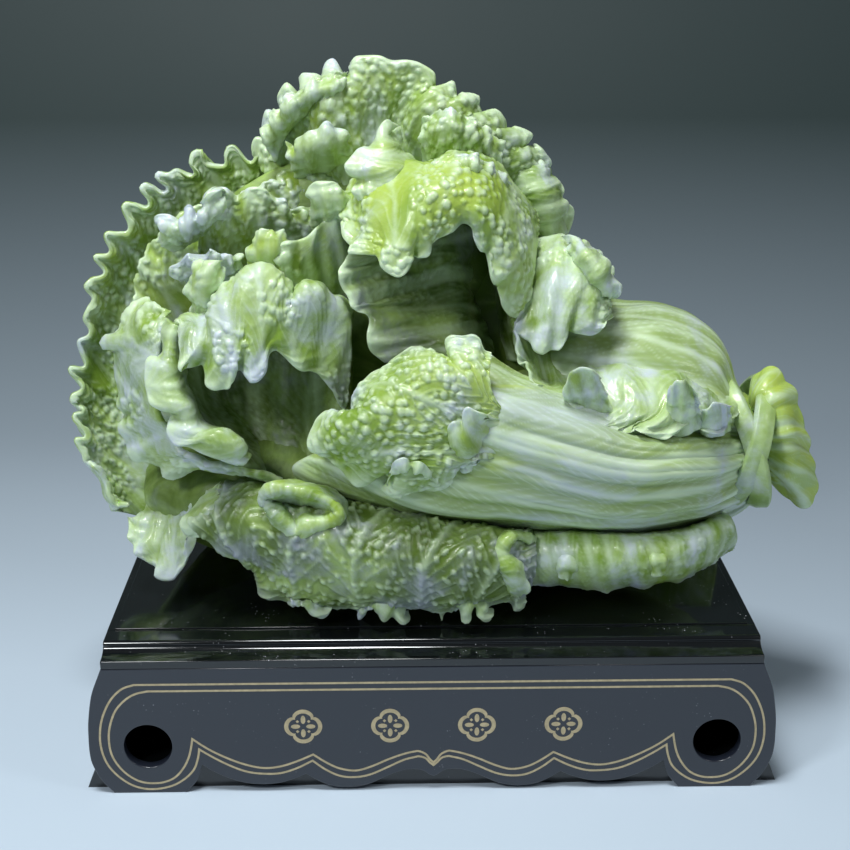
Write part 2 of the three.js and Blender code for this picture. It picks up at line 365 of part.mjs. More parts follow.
// Lines that some rows follow closely: [across, down] points as seen, by the row's place in its net
const traces_shares = {
  back_left_leaf: {
    3: [[0.13, 0.506], [0.118, 0.508], [0.112, 0.499], [0.107, 0.49], [0.103, 0.482], [0.096, 0.466],
      [0.085, 0.462], [0.082, 0.453], [0.078, 0.441], [0.084, 0.433], [0.077, 0.418], [0.083, 0.41],
      [0.073, 0.405], [0.074, 0.396], [0.082, 0.386], [0.075, 0.378], [0.074, 0.37], [0.084, 0.364],
      [0.081, 0.352], [0.08, 0.341], [0.088, 0.331], [0.085, 0.319], [0.087, 0.31], [0.092, 0.298],
      [0.087, 0.289], [0.092, 0.28], [0.103, 0.271], [0.098, 0.259], [0.107, 0.25], [0.109, 0.237],
      [0.119, 0.232], [0.127, 0.227], [0.127, 0.21], [0.135, 0.205], [0.146, 0.203], [0.145, 0.19],
      [0.152, 0.187], [0.162, 0.188], [0.161, 0.178], [0.169, 0.174], [0.178, 0.17], [0.188, 0.171],
      [0.191, 0.163], [0.2, 0.155], [0.206, 0.162], [0.22, 0.162], [0.227, 0.155], [0.235, 0.151],
      [0.248, 0.155], [0.258, 0.15]],
  },
  back_top_leaf: {
    2: [[0.255, 0.152], [0.254, 0.146], [0.258, 0.138], [0.266, 0.134], [0.263, 0.126], [0.269, 0.112],
      [0.281, 0.109], [0.28, 0.096], [0.289, 0.086], [0.3, 0.09], [0.305, 0.083], [0.304, 0.077],
      [0.315, 0.074], [0.327, 0.074], [0.328, 0.066], [0.335, 0.063], [0.346, 0.07], [0.354, 0.065],
      [0.356, 0.059], [0.367, 0.056], [0.38, 0.056], [0.392, 0.059], [0.408, 0.06], [0.421, 0.064],
      [0.434, 0.073], [0.44, 0.084], [0.451, 0.083], [0.46, 0.095], [0.466, 0.099], [0.475, 0.097],
      [0.48, 0.105], [0.488, 0.115], [0.495, 0.111], [0.504, 0.119], [0.511, 0.131], [0.519, 0.128],
      [0.529, 0.135], [0.528, 0.144], [0.535, 0.152], [0.54, 0.148], [0.549, 0.161], [0.548, 0.173],
      [0.555, 0.177], [0.562, 0.187], [0.564, 0.198], [0.571, 0.207], [0.572, 0.217], [0.569, 0.229],
      [0.565, 0.239]],
  },
  left_mid_leaf: {
    2: [[0.2, 0.226], [0.203, 0.213], [0.203, 0.198], [0.208, 0.19], [0.216, 0.187], [0.226, 0.187],
      [0.231, 0.19], [0.236, 0.195], [0.242, 0.193], [0.247, 0.188], [0.256, 0.186], [0.265, 0.188],
      [0.27, 0.193], [0.276, 0.197], [0.284, 0.198], [0.291, 0.208], [0.3, 0.206], [0.308, 0.207],
      [0.316, 0.206]],
  },
  left_inner_leaf: {
    2: [[0.27, 0.27], [0.271, 0.261], [0.276, 0.256], [0.281, 0.251], [0.281, 0.244], [0.288, 0.24],
      [0.3, 0.24], [0.308, 0.235], [0.314, 0.228], [0.323, 0.223], [0.33, 0.215], [0.341, 0.212]],
  },
  left_leaf: {
    0: [[0.15, 0.299], [0.138, 0.304], [0.129, 0.312], [0.123, 0.322], [0.116, 0.333], [0.105, 0.342],
      [0.112, 0.347], [0.115, 0.358], [0.116, 0.372], [0.118, 0.39], [0.119, 0.405], [0.123, 0.415],
      [0.122, 0.428], [0.127, 0.441], [0.132, 0.452], [0.136, 0.457], [0.146, 0.46], [0.155, 0.464],
      [0.163, 0.468], [0.168, 0.473], [0.177, 0.475], [0.19, 0.473], [0.205, 0.471], [0.24, 0.475],
      [0.28, 0.483]],
  },
  left_roll: {
    1: [[0.177, 0.326], [0.173, 0.34], [0.171, 0.358], [0.172, 0.375], [0.177, 0.392], [0.184, 0.404],
      [0.188, 0.415], [0.193, 0.427], [0.203, 0.434], [0.214, 0.433], [0.223, 0.433], [0.232, 0.44],
      [0.239, 0.448], [0.238, 0.457], [0.246, 0.463]],
    2: [[0.168, 0.318], [0.164, 0.33], [0.164, 0.345], [0.163, 0.353], [0.157, 0.359], [0.149, 0.361],
      [0.146, 0.37], [0.145, 0.382], [0.147, 0.393], [0.151, 0.403], [0.158, 0.407], [0.166, 0.408],
      [0.17, 0.413], [0.168, 0.424], [0.168, 0.432], [0.172, 0.44], [0.178, 0.446], [0.188, 0.447],
      [0.2, 0.452], [0.215, 0.458], [0.236, 0.463]],
  },
  left_flap: {
    1: [[0.176, 0.328], [0.181, 0.322], [0.19, 0.321], [0.2, 0.323], [0.209, 0.322], [0.214, 0.316],
      [0.214, 0.305], [0.217, 0.298], [0.222, 0.29], [0.23, 0.286], [0.237, 0.283], [0.244, 0.276],
      [0.25, 0.271], [0.26, 0.268], [0.269, 0.271], [0.276, 0.279], [0.284, 0.287], [0.288, 0.294],
      [0.291, 0.3], [0.297, 0.301], [0.3, 0.295], [0.304, 0.289], [0.312, 0.288], [0.32, 0.289],
      [0.326, 0.296], [0.333, 0.302], [0.34, 0.304], [0.347, 0.316]],
    3: [[0.178, 0.33], [0.179, 0.342], [0.18, 0.356], [0.182, 0.367], [0.187, 0.371], [0.192, 0.367],
      [0.199, 0.367], [0.204, 0.374], [0.207, 0.383], [0.215, 0.388], [0.224, 0.388], [0.231, 0.386],
      [0.233, 0.378], [0.239, 0.373], [0.246, 0.377], [0.251, 0.38], [0.259, 0.379], [0.266, 0.372],
      [0.268, 0.362], [0.272, 0.355], [0.279, 0.353], [0.286, 0.358], [0.292, 0.365], [0.3, 0.37],
      [0.312, 0.372], [0.322, 0.377], [0.33, 0.388], [0.338, 0.402], [0.345, 0.412]],
  },
  hood_leaf: {
    4: [[0.34, 0.222], [0.343, 0.236], [0.35, 0.246], [0.353, 0.257], [0.362, 0.255], [0.372, 0.254],
      [0.377, 0.257], [0.381, 0.266], [0.388, 0.272], [0.396, 0.275], [0.403, 0.273], [0.408, 0.267],
      [0.41, 0.258], [0.419, 0.257], [0.427, 0.254], [0.432, 0.246], [0.441, 0.238], [0.452, 0.232],
      [0.463, 0.227], [0.471, 0.23], [0.475, 0.241], [0.48, 0.25], [0.487, 0.256], [0.488, 0.266],
      [0.489, 0.275], [0.493, 0.283], [0.499, 0.289], [0.499, 0.298], [0.502, 0.306], [0.508, 0.314],
      [0.515, 0.318]],
  },
  hood_hollow_leaf: {
    3: [[0.352, 0.252], [0.343, 0.262], [0.336, 0.27], [0.337, 0.28], [0.343, 0.289], [0.348, 0.299],
      [0.35, 0.308], [0.357, 0.313], [0.365, 0.312], [0.37, 0.315], [0.37, 0.322], [0.366, 0.33],
      [0.366, 0.341], [0.37, 0.35], [0.377, 0.357], [0.385, 0.363]],
  },
  front_leaf: {
    2: [[0.477, 0.458], [0.47, 0.463], [0.464, 0.468], [0.456, 0.466], [0.452, 0.467], [0.45, 0.475],
      [0.446, 0.483], [0.436, 0.488], [0.424, 0.49], [0.412, 0.491], [0.401, 0.492], [0.393, 0.491],
      [0.387, 0.487], [0.384, 0.48], [0.378, 0.475], [0.372, 0.478], [0.365, 0.481], [0.357, 0.481],
      [0.349, 0.477], [0.341, 0.47], [0.334, 0.464], [0.327, 0.457], [0.318, 0.45], [0.313, 0.444],
      [0.313, 0.435], [0.316, 0.427], [0.321, 0.419], [0.328, 0.414], [0.336, 0.415], [0.341, 0.418],
      [0.347, 0.415], [0.351, 0.405], [0.355, 0.395], [0.361, 0.385], [0.371, 0.376], [0.383, 0.368],
      [0.393, 0.361], [0.402, 0.355], [0.412, 0.35], [0.421, 0.349], [0.432, 0.351], [0.445, 0.352],
      [0.448, 0.345], [0.453, 0.34], [0.463, 0.338], [0.474, 0.338], [0.48, 0.343], [0.485, 0.349],
      [0.491, 0.353]],
  },
  right_leaf: {
    4: [[0.514, 0.321], [0.515, 0.331], [0.522, 0.337], [0.53, 0.343], [0.535, 0.349], [0.543, 0.352],
      [0.551, 0.35], [0.559, 0.348], [0.564, 0.342], [0.567, 0.334], [0.577, 0.334], [0.59, 0.334],
      [0.599, 0.33], [0.607, 0.322], [0.613, 0.314]],
  },
  right_low_leaf: {
    2: [[0.513, 0.33], [0.514, 0.345], [0.516, 0.357], [0.52, 0.361], [0.526, 0.364], [0.527, 0.372],
      [0.529, 0.382], [0.531, 0.39], [0.537, 0.396], [0.546, 0.402], [0.551, 0.408], [0.557, 0.411],
      [0.563, 0.407], [0.567, 0.405], [0.572, 0.41], [0.578, 0.415], [0.584, 0.421], [0.587, 0.429],
      [0.591, 0.434], [0.6, 0.435], [0.612, 0.434], [0.62, 0.433], [0.625, 0.429], [0.63, 0.425],
      [0.636, 0.431], [0.645, 0.435], [0.655, 0.438], [0.665, 0.439], [0.673, 0.436], [0.68, 0.431],
      [0.687, 0.428], [0.695, 0.427], [0.702, 0.432], [0.709, 0.435], [0.716, 0.433], [0.722, 0.427],
      [0.731, 0.424]],
  },
  bottom_leaf: {
    4: [[0.234, 0.549], [0.238, 0.543], [0.245, 0.544], [0.253, 0.546], [0.259, 0.545], [0.258, 0.555],
      [0.256, 0.566], [0.262, 0.575], [0.263, 0.585], [0.268, 0.593], [0.278, 0.598], [0.3, 0.603],
      [0.33, 0.606], [0.36, 0.607], [0.405, 0.608], [0.44, 0.609], [0.49, 0.604], [0.51, 0.603],
      [0.517, 0.606], [0.521, 0.597], [0.528, 0.59]],
  },
  bottom_lip: {
    0: [[0.272, 0.503], [0.272, 0.499], [0.278, 0.497], [0.292, 0.498], [0.305, 0.501], [0.318, 0.505],
      [0.328, 0.509], [0.332, 0.513], [0.329, 0.517], [0.32, 0.518], [0.31, 0.518], [0.302, 0.519],
      [0.296, 0.522], [0.291, 0.52], [0.284, 0.514], [0.277, 0.508], [0.271, 0.501], [0.274, 0.496]],
    1: [[0.264, 0.509], [0.261, 0.5], [0.266, 0.491], [0.275, 0.488], [0.29, 0.49], [0.305, 0.493],
      [0.32, 0.498], [0.333, 0.505], [0.34, 0.512], [0.337, 0.519], [0.328, 0.524], [0.315, 0.528],
      [0.302, 0.531], [0.292, 0.53], [0.282, 0.523], [0.272, 0.515], [0.264, 0.508], [0.263, 0.498]],
  },
  left_low_leaf: {
    2: [[0.127, 0.514], [0.129, 0.527], [0.131, 0.538], [0.135, 0.546], [0.139, 0.554], [0.147, 0.562],
      [0.155, 0.569], [0.16, 0.576], [0.168, 0.579], [0.177, 0.578], [0.183, 0.572], [0.187, 0.563],
      [0.191, 0.553], [0.193, 0.541], [0.193, 0.531]],
  },
  crown_left_leaf: {
    0: [[0.403, 0.126], [0.4, 0.138], [0.398, 0.149], [0.404, 0.156], [0.412, 0.161], [0.42, 0.167],
      [0.427, 0.175], [0.433, 0.182], [0.434, 0.192]],
    2: [[0.4, 0.124], [0.392, 0.122], [0.384, 0.122], [0.379, 0.128], [0.374, 0.138], [0.367, 0.146],
      [0.358, 0.151], [0.352, 0.158], [0.348, 0.167], [0.35, 0.175], [0.354, 0.18], [0.354, 0.19],
      [0.358, 0.198], [0.363, 0.205], [0.367, 0.209]],
  },
  right_curl: {
    2: [[0.563, 0.239], [0.572, 0.238], [0.58, 0.24], [0.586, 0.246], [0.595, 0.25], [0.602, 0.256],
      [0.608, 0.262], [0.612, 0.271], [0.616, 0.28], [0.617, 0.286], [0.612, 0.291], [0.604, 0.291]],
  },
  left_margin_lobe: {
    2: [[0.221, 0.481], [0.212, 0.489], [0.203, 0.497], [0.194, 0.506], [0.188, 0.513], [0.184, 0.521],
      [0.187, 0.53], [0.195, 0.534], [0.206, 0.533], [0.215, 0.529], [0.223, 0.527], [0.229, 0.528],
      [0.231, 0.538], [0.234, 0.548]],
  },
  low_right_curl: {
    0: [[0.535, 0.536], [0.522, 0.532], [0.51, 0.533], [0.501, 0.539], [0.495, 0.547], [0.496, 0.56],
      [0.499, 0.575], [0.502, 0.59], [0.512, 0.599]],
    2: [[0.535, 0.541], [0.525, 0.541], [0.515, 0.543], [0.508, 0.549], [0.511, 0.557], [0.517, 0.562],
      [0.523, 0.567], [0.528, 0.577], [0.529, 0.586], [0.522, 0.594], [0.516, 0.598]],
  },
};

// How strongly a leaf's edge ruffles; a leaf that isn't listed ruffles fully.
const leaf_ruffle_shares = {
  hollow_leaf: 0, slit_leaf: 0, hood_hollow_leaf: 0.4, left_leaf: 0.5, left_roll: 0.3,
  bottom_lip: 0, bottom_frill: 0.2,
};

// How long a leaf's facets are, as a share of the usual length; a leaf that isn't listed has 1.
const leaf_facet_shares = {
  back_left_leaf: 0.65, back_top_leaf: 0.65, left_flap: 0.8, front_leaf: 0.8, hood_leaf: 0.8,
  rear_leaf: 1.8, rear_low_leaf: 1.8, hollow_leaf: 2, slit_leaf: 2,
};

// The full bodies under the leaves: [along, back, up, half length, half depth, half height]
// as shares of the carving's box.
const core_shares = {
  head: [0.37, 0.72, 0.46, 0.25, 0.22, 0.37],
  shoulder: [0.6, 0.68, 0.4, 0.14, 0.2, 0.24],
  lower_head: [0.42, 0.6, 0.18, 0.34, 0.45, 0.16],
  stem: [0.7, 0.52, 0.25, 0.235, 0.42, 0.255],
  neck: [0.875, 0.52, 0.285, 0.07, 0.2, 0.11],
  root_hub: [0.918, 0.5, 0.285, 0.035, 0.1, 0.085],
};

// The tie's two crossed bands, in shares of the carving's box
const tie_centre_shares = [0.905, 0.5, 0.285];
const tie_ring_shares = [0.2, 0.118]; // half depth and half height of a band
const tie_lean_share = 0.3; // sideways lean of a band over its radius

// Materials
function material(color, roughness, metalness) {
  return new THREE.MeshStandardMaterial({ color, roughness, metalness });
}
const jade = material(0xb7c98a, 0.25, 0);
const black_lacquer = material(0x0d0b0d, 0.12, 0);
const navy_lacquer = material(0x1c2233, 0.35, 0);
const bare_wood = material(0x6b5236, 0.75, 0);
const screw_steel = material(0x9a9a96, 0.4, 1);

// Solids and geometries
function solidOf(geometry) {
  const bare = geometry.clone();
  bare.deleteAttribute("normal");
  bare.deleteAttribute("uv");
  const merged = mergeVertices(bare, 1e-4);
  const shape = new wasm.Mesh({
    numProp: 3,
    vertProperties: merged.attributes.position.array,
    triVerts: new Uint32Array(merged.index.array),
  });
  return new wasm.Manifold(shape);
}

function geometryOf(solid) {
  const shape = solid.getMesh();
  const geometry = new THREE.BufferGeometry();
  geometry.setAttribute("position", new THREE.BufferAttribute(shape.vertProperties, shape.numProp));
  geometry.setIndex(new THREE.BufferAttribute(shape.triVerts, 1));
  geometry.computeVertexNormals();
  return geometry;
}

function piece(name, geometry, finish) {
  const mesh = new THREE.Mesh(geometry, finish);
  mesh.name = name;
  return mesh;
}

function box(width, depth, height, x, y, z) {
  return new THREE.BoxGeometry(width, depth, height).translate(x, y, z);
}

// The height of the deck and of the parts below it
const platform_underside = panel_height;
const rim_top = platform_underside + fascia_height + cove_height + nose_height;
const deck_top = rim_top + deck_step;
const carving_bottom = deck_top + carving_lift_gap;

// The scroll panels
const half_width = stand_width / 2;
const half_bulge = half_width + bulge_reach;
const scroll_x = half_bulge - scroll_radius;
const scroll_cusp_x = half_width - scroll_cusp_inset;
const outer_scallop_x = half_width - outer_scallop_inset;
const small_cusp_x = half_width - small_cusp_inset;
const inner_scallop_x = half_width - inner_scallop_inset;
const curve_facets = 4;

// The panel's outline on the right, from the middle of its lower edge to its upper corner.
function halfOutline() {
  const cusp_turn = Math.atan2(scroll_height - scroll_cusp_z, scroll_x - scroll_cusp_x);
  const floor_turn = Math.asin(scroll_height / scroll_radius);
  const path = new THREE.Path();
  const curve = (mid_x, mid_z, end_x, end_z) => path.quadraticCurveTo(mid_x, mid_z, end_x, end_z);
  path.moveTo(0, middle_tip_z);
  curve(bracket_x / 3, bracket_z, bracket_x, bracket_z);
  const mid_x = (bracket_x + inner_scallop_x) / 2;
  path.bezierCurveTo(mid_x, bracket_z, mid_x, inner_scallop_z, inner_scallop_x, inner_scallop_z);
  curve((small_cusp_x + inner_scallop_x) / 2, inner_scallop_z, small_cusp_x, small_cusp_z);
  curve((outer_scallop_x + small_cusp_x) / 2, outer_scallop_z, outer_scallop_x, outer_scallop_z);
  curve((scroll_cusp_x + outer_scallop_x) / 2, outer_scallop_z, scroll_cusp_x, scroll_cusp_z);
  path.absarc(scroll_x, scroll_height, scroll_radius, Math.PI + cusp_turn, Math.PI + floor_turn, false);
  path.absarc(scroll_x, scroll_height, scroll_radius, -floor_turn, 0, false);
  curve(half_bulge, bulge_control_height, half_width, panel_height);
  return path.getPoints(curve_facets);
}

function panelShape() {
  const right = halfOutline();
  const left = right.slice(1).reverse().map((p) => new THREE.Vector2(-p.x, p.y));
  const shape = new THREE.Shape([...right, ...left]);
  for (const side of [-1, 1]) {
    const eye = new THREE.Path();
    eye.absarc(side * scroll_x, scroll_height, eye_radius, 0, 2 * Math.PI, true);
    shape.holes.push(eye);
  }
  return shape;
}

// An outline in X and Z, extruded from its front face towards the back.
function extrudeBack(shape, thickness, front) {
  const settings = { depth: thickness, bevelEnabled: false, curveSegments: 4 * curve_facets };
  const geometry = new THREE.ExtrudeGeometry(shape, settings);
  return geometry.rotateX(Math.PI / 2).translate(0, front + thickness, 0);
}

function panel(front) {
  return extrudeBack(panelShape(), panel_thickness, front);
}

// An end board follows the panel's outer curve and stands on the base board.
const inner_depth = stand_depth - 2 * panel_thickness;

function endBoard(side) {
  const outer = new THREE.Path();
  const base_turn = Math.asin((scroll_height - base_thickness) / scroll_radius);
  outer.absarc(scroll_x, scroll_height, scroll_radius, -base_turn, 0, false);
  outer.quadraticCurveTo(half_bulge, bulge_control_height, half_width, panel_height);
  const outside = outer.getPoints(curve_facets);
  const inside = outside.map((p) => new THREE.Vector2(p.x - end_thickness, p.y)).reverse();
  let points = [...outside, ...inside];
  if (side < 0) points = points.map((p) => new THREE.Vector2(-p.x, p.y)).reverse();
  return extrudeBack(new THREE.Shape(points), inner_depth, -inner_depth / 2);
}

// Screws point up, with their countersunk heads flush with the face that they enter.
function screwProfile(play) {
  const head = screw_head_radius + play;
  const shank = screw_shank_radius + play;
  return [
    new THREE.Vector2(0, 0),
    new THREE.Vector2(head, 0),
    new THREE.Vector2(shank, screw_head_height),
    new THREE.Vector2(shank, screw_length - screw_tip_height),
    new THREE.Vector2(0, screw_length + play),
  ];
}

function lathed(profile, x, y, z) {
  return new THREE.LatheGeometry(profile, screw_sides).rotateX(Math.PI / 2).translate(x, y, z);
}

function screw(x, y, z) {
  return lathed(screwProfile(0), x, y, z);
}

// The hole for a screw, opened past the face so that the cut is clean.
function screwHole(x, y, z) {
  const profile = screwProfile(joint_gap);
  profile[0].y = -cut_overrun;
  profile.splice(1, 0, new THREE.Vector2(profile[1].x, -cut_overrun));
  return solidOf(lathed(profile, x, y, z));
}

function drilled(geometry, z) {
  let solid = solidOf(geometry);
  for (const [x, y] of screwPlaces()) solid = solid.subtract(screwHole(x, y, z));
  return geometryOf(solid);
}

const batten_y = inner_depth / 2 - batten_side / 2;

function screwPlaces() {
  const places = [];
  for (const y of [-batten_y, batten_y]) {
    for (const x of [-batten_screw_place, batten_screw_place]) places.push([x, y]);
  }
  return places;
}

function baseBoard() {
  const shape = new THREE.Shape();
  const bottom_end = half_width + base_bottom_reach;
  const top_end = half_width + base_top_reach;
  shape.moveTo(-bottom_end, 0);
  shape.lineTo(bottom_end, 0);
  shape.lineTo(top_end, base_thickness);
  shape.lineTo(-top_end, base_thickness);
  return drilled(extrudeBack(shape, inner_depth, -inner_depth / 2), 0);
}

// The platform's section in Y and Z: a fascia, a cove and a rounded nose at the front and the back.
function platformShape() {
  const edge = new THREE.Path();
  const fascia_top = platform_underside + fascia_height;
  const cove_top = fascia_top + cove_height;
  const cove_end = stand_depth / 2 - cove_depth;
  edge.moveTo(stand_depth / 2, platform_underside);
  edge.lineTo(stand_depth / 2, fascia_top);
  edge.quadraticCurveTo(cove_end, fascia_top, cove_end, cove_top);
  edge.quadraticCurveTo(cove_end, rim_top, cove_end - nose_depth, rim_top);
  const back = edge.getPoints(curve_facets);
  const front = back.map((p) => new THREE.Vector2(-p.x, p.y)).reverse();
  return new THREE.Shape([...back, ...front]);
}

const top_screw_z = platform_underside - batten_side;

function platformBoard() {
  const settings = { depth: stand_width, bevelEnabled: false };
  const board = new THREE.ExtrudeGeometry(platformShape(), settings);
  const along_x = new THREE.Matrix4().makeBasis(
    new THREE.Vector3(0, 1, 0), new THREE.Vector3(0, 0, 1), new THREE.Vector3(1, 0, 0),
  );
  board.applyMatrix4(along_x).translate(-half_width, 0, 0);
  const field_width = stand_width - 2 * deck_side_margin;
  const field_depth = stand_depth - 2 * deck_front_margin;
  const field_height = deck_step + cut_overrun;
  const field = box(field_width, field_depth, field_height, 0, 0, deck_top - field_height / 2);
  return drilled(geometryOf(solidOf(board).add(solidOf(field))), top_screw_z);
}

function batten(y, z, screw_z) {
  return drilled(box(batten_length, batten_side, batten_side, 0, y, z + batten_side / 2), screw_z);
}

function rib(side) {
  const height = platform_underside - base_thickness;
  const depth = inner_depth - 2 * (batten_side + joint_gap);
  return box(rib_thickness, depth, height, side * rib_place, 0, base_thickness + height / 2);
}

// Points of the carving: from shares of its box, and from where they are seen
function placed(along, back, up) {
  return new THREE.Vector3(
    carving_left + carving_length * along,
    carving_front + carving_depth * back,
    carving_bottom + carving_height * up,
  );
}

function placeSeen({ x: across, y: down, z: depth }) {
  const dip = Math.atan(view_dip_share);
  const sideways = across - view_middle_share;
  const upwards = view_middle_share - down;
  const ahead = view_reach_share * Math.cos(dip) + upwards * Math.sin(dip);
  const rise = upwards * Math.cos(dip) - view_reach_share * Math.sin(dip);
  const step_x = ahead * Math.sin(view_turn_share) + sideways * Math.cos(view_turn_share);
  const step_y = ahead * Math.cos(view_turn_share) - sideways * Math.sin(view_turn_share);
  const [eye_x, eye_y, eye_z] = view_eye_shares;
  const steps = (depth - eye_y) / (step_y * depth_share);
  return placed(eye_x + steps * step_x, depth, eye_z + steps * rise * height_share);
}

function smoothCurve(points) {
  return new THREE.CatmullRomCurve3(points, false, "catmullrom");
}

// One row of a leaf, which follows its traced line where it has one.
function rowOf(row_shares, trace_shares) {
  const line = smoothCurve(row_shares.map((point) => new THREE.Vector3(...point)));
  if (!trace_shares) return (u) => placeSeen(line.getPoint(u));
  const trace = smoothCurve(trace_shares.map(([across, down]) => new THREE.Vector3(across, down, 0)));
  return (u) => placeSeen(trace.getPointAt(u).setZ(line.getPoint(u).z));
}

// A leaf's middle surface: u runs along its edge, v from its root to its edge.
function surfaceOf(name, net_shares) {
  const rows = net_shares.map((row_shares, index) => rowOf(row_shares, traces_shares[name]?.[index]));
  return (u, v) => smoothCurve(rows.map((row) => row(u))).getPoint(v);
}

const slope_step_share = 0.02; // how far apart a leaf's slope is measured, of its width
const middle_share = 0.5; // of a leaf's width and height
const edge_samples = 60;
const fewest_columns = 4;

function normalOf(surface, u, v) {
  const low_u = Math.max(0, u - slope_step_share);
  const high_u = Math.min(1, u + slope_step_share);
  const low_v = Math.max(0, v - slope_step_share);
  const high_v = Math.min(1, v + slope_step_share);
  const along = surface(high_u, v).sub(surface(low_u, v));
  const outward = surface(u, high_v).sub(surface(u, low_v));
  return along.cross(outward).normalize();
}

// The length of a leaf's edge
function edgeLength(surface) {
  const across = Array.from({ length: edge_samples + 1 }, (_, index) => index / edge_samples);
  return smoothCurve(across.map((u) => surface(u, 1))).getLength();
}

// A leaf is a box bent onto its surface: thick at the root, thin and ruffled at the edge.
function leafSolid(name, net_shares, root_thickness) {
  const surface = surfaceOf(name, net_shares);
  const rows = net_shares.length - 1;
  const edge_length = edgeLength(surface);
  const waves = Math.max(1, Math.round(edge_length / ruffle_length));
  const strength = leaf_ruffle_shares[name] ?? 1;
  const facet = leaf_facet_length * (leaf_facet_shares[name] ?? 1);
  const columns = Math.max(fewest_columns, Math.round(edge_length / facet));
  const geometry = new THREE.BoxGeometry(1, 1, 1, columns, rows, 1);
  const places = geometry.attributes.position;
  for (let i = 0; i < places.count; i++) {
    const u = places.getX(i) + middle_share;
    const v = places.getY(i) + middle_share;
    const side = places.getZ(i);
    const swing = strength * ruffle_height * v ** 3 * Math.sin(2 * Math.PI * waves * u);
    const thickness = THREE.MathUtils.lerp(root_thickness, leaf_edge, v);
    const point = surface(u, v).addScaledVector(normalOf(surface, u, v), swing + side * thickness);
    places.setXYZ(i, point.x, point.y, point.z);
  }
  return solidOf(geometry);
}

// A ribbed leaf has rounded ridges that run from its root to its edge.
function ribbedSolid(name, net_shares, ribs) {
  const surface = surfaceOf(name, net_shares);
  const geometry = new THREE.BoxGeometry(1, 1, 1, 2 * ribs, net_shares.length - 1, 1);
  const places = geometry.attributes.position;
  for (let i = 0; i < places.count; i++) {
    const u = places.getX(i) + middle_share;
    const v = places.getY(i) + middle_share;
    const ridge = Math.abs(Math.sin(Math.PI * ribs * u)) - middle_share;
    const swell = places.getZ(i) * (leaf_root + 2 * rib_height * ridge);
    const point = surface(u, v).addScaledVector(normalOf(surface, u, v), swell);
    places.setXYZ(i, point.x, point.y, point.z);
  }
  return solidOf(geometry);
}

function coreSolid([along, back, up, half_length, half_depth, half_height]) {
  const ball = new THREE.SphereGeometry(1, 16, 10);
  ball.scale(half_length * carving_length, half_depth * carving_depth, half_height * carving_height);
  const centre = placed(along, back, up);
  return solidOf(ball.translate(centre.x, centre.y, centre.z));
}

// The foot is the ground underside on which the stone stands.
function footSolid() {
  const foot = new THREE.CylinderGeometry(1, 1, 1, 32).rotateX(Math.PI / 2);
  foot.scale(foot_length / 2, foot_width / 2, foot_height);
  return solidOf(foot.translate(foot_place, 0, carving_bottom + foot_height / 2));
}

function tieBand(lean) {
  const half_depth = tie_ring_shares[0] * carving_depth;
  const half_height = tie_ring_shares[1] * carving_height;
  const ring = new THREE.TorusGeometry(half_depth, tie_radius, 6, 24).rotateY(Math.PI / 2);
  ring.scale(1, 1, half_height / half_depth);
  ring.rotateY(lean);
  const centre = placed(...tie_centre_shares);
  return solidOf(ring.translate(centre.x, centre.y, centre.z));
}

// Everything of the stone that would reach below the deck is ground away.
function belowDeck() {
  const reach = 2 * carving_length;
  return solidOf(box(reach, reach, reach, 0, 0, carving_bottom - reach / 2));
}

function carvingSolid() {
  let stone = footSolid();
  for (const core of Object.values(core_shares)) stone = stone.add(coreSolid(core));
  for (const [name, net_shares] of Object.entries(leaves_shares)) {
    const ribbed = name.endsWith("stem");
    const leaf = ribbed
      ? ribbedSolid(name, net_shares, stem_ribs)
      : leafSolid(name, net_shares, leaf_root);
    stone = stone.add(leaf);
  }
  for (const [name, net_shares] of Object.entries(small_leaves_shares)) {
    stone = stone.add(leafSolid(name, net_shares, small_leaf_root));
  }
  for (const [name, net_shares] of Object.entries(roots_shares)) {
    stone = stone.add(ribbedSolid(name, net_shares, root_ribs));
  }
  for (const side of [-1, 1]) stone = stone.add(tieBand(side * tie_lean_share));
  return stone.subtract(belowDeck());
}

// The assembly
const stand = new THREE.Group();
stand.add(piece("platform_board", platformBoard(), black_lacquer));
stand.add(piece("front_panel", panel(-stand_depth / 2), navy_lacquer));
stand.add(piece("back_panel", panel(stand_depth / 2 - panel_thickness), navy_lacquer));
stand.add(piece("base_board", baseBoard(), black_lacquer));
for (const [name, side] of [["left", -1], ["right", 1]]) {
  stand.add(piece(`${name}_end_board`, endBoard(side), navy_lacquer));
  stand.add(piece(`${name}_rib`, rib(side), bare_wood));
}
for (const [name, side] of [["front", -1], ["back", 1]]) {
  const y = side * batten_y;
  stand.add(piece(`${name}_upper_batten`, batten(y, top_screw_z, top_screw_z), bare_wood));
  stand.add(piece(`${name}_lower_batten`, batten(y, base_thickness, 0), bare_wood));
}
screwPlaces().forEach(([x, y], index) => {
  stand.add(piece(`base_screw_${index + 1}`, screw(x, y, 0), screw_steel));
  stand.add(piece(`platform_screw_${index + 1}`, screw(x, y, top_screw_z), screw_steel));
});

const cabbage = new THREE.Group();
cabbage.add(piece("jade_carving", geometryOf(carvingSolid()), jade));

const group = new THREE.Group();
group.add(stand, cabbage);

export default group;
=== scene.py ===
"""A cabbage carved in jade on a lacquered stand with scroll ends: surfaces, finishes and studio."""

import itertools
import math

import bmesh
import bpy
import numpy as np
from bpy.props import FloatProperty, FloatVectorProperty, IntProperty, PointerProperty
from mathutils import Matrix, Vector


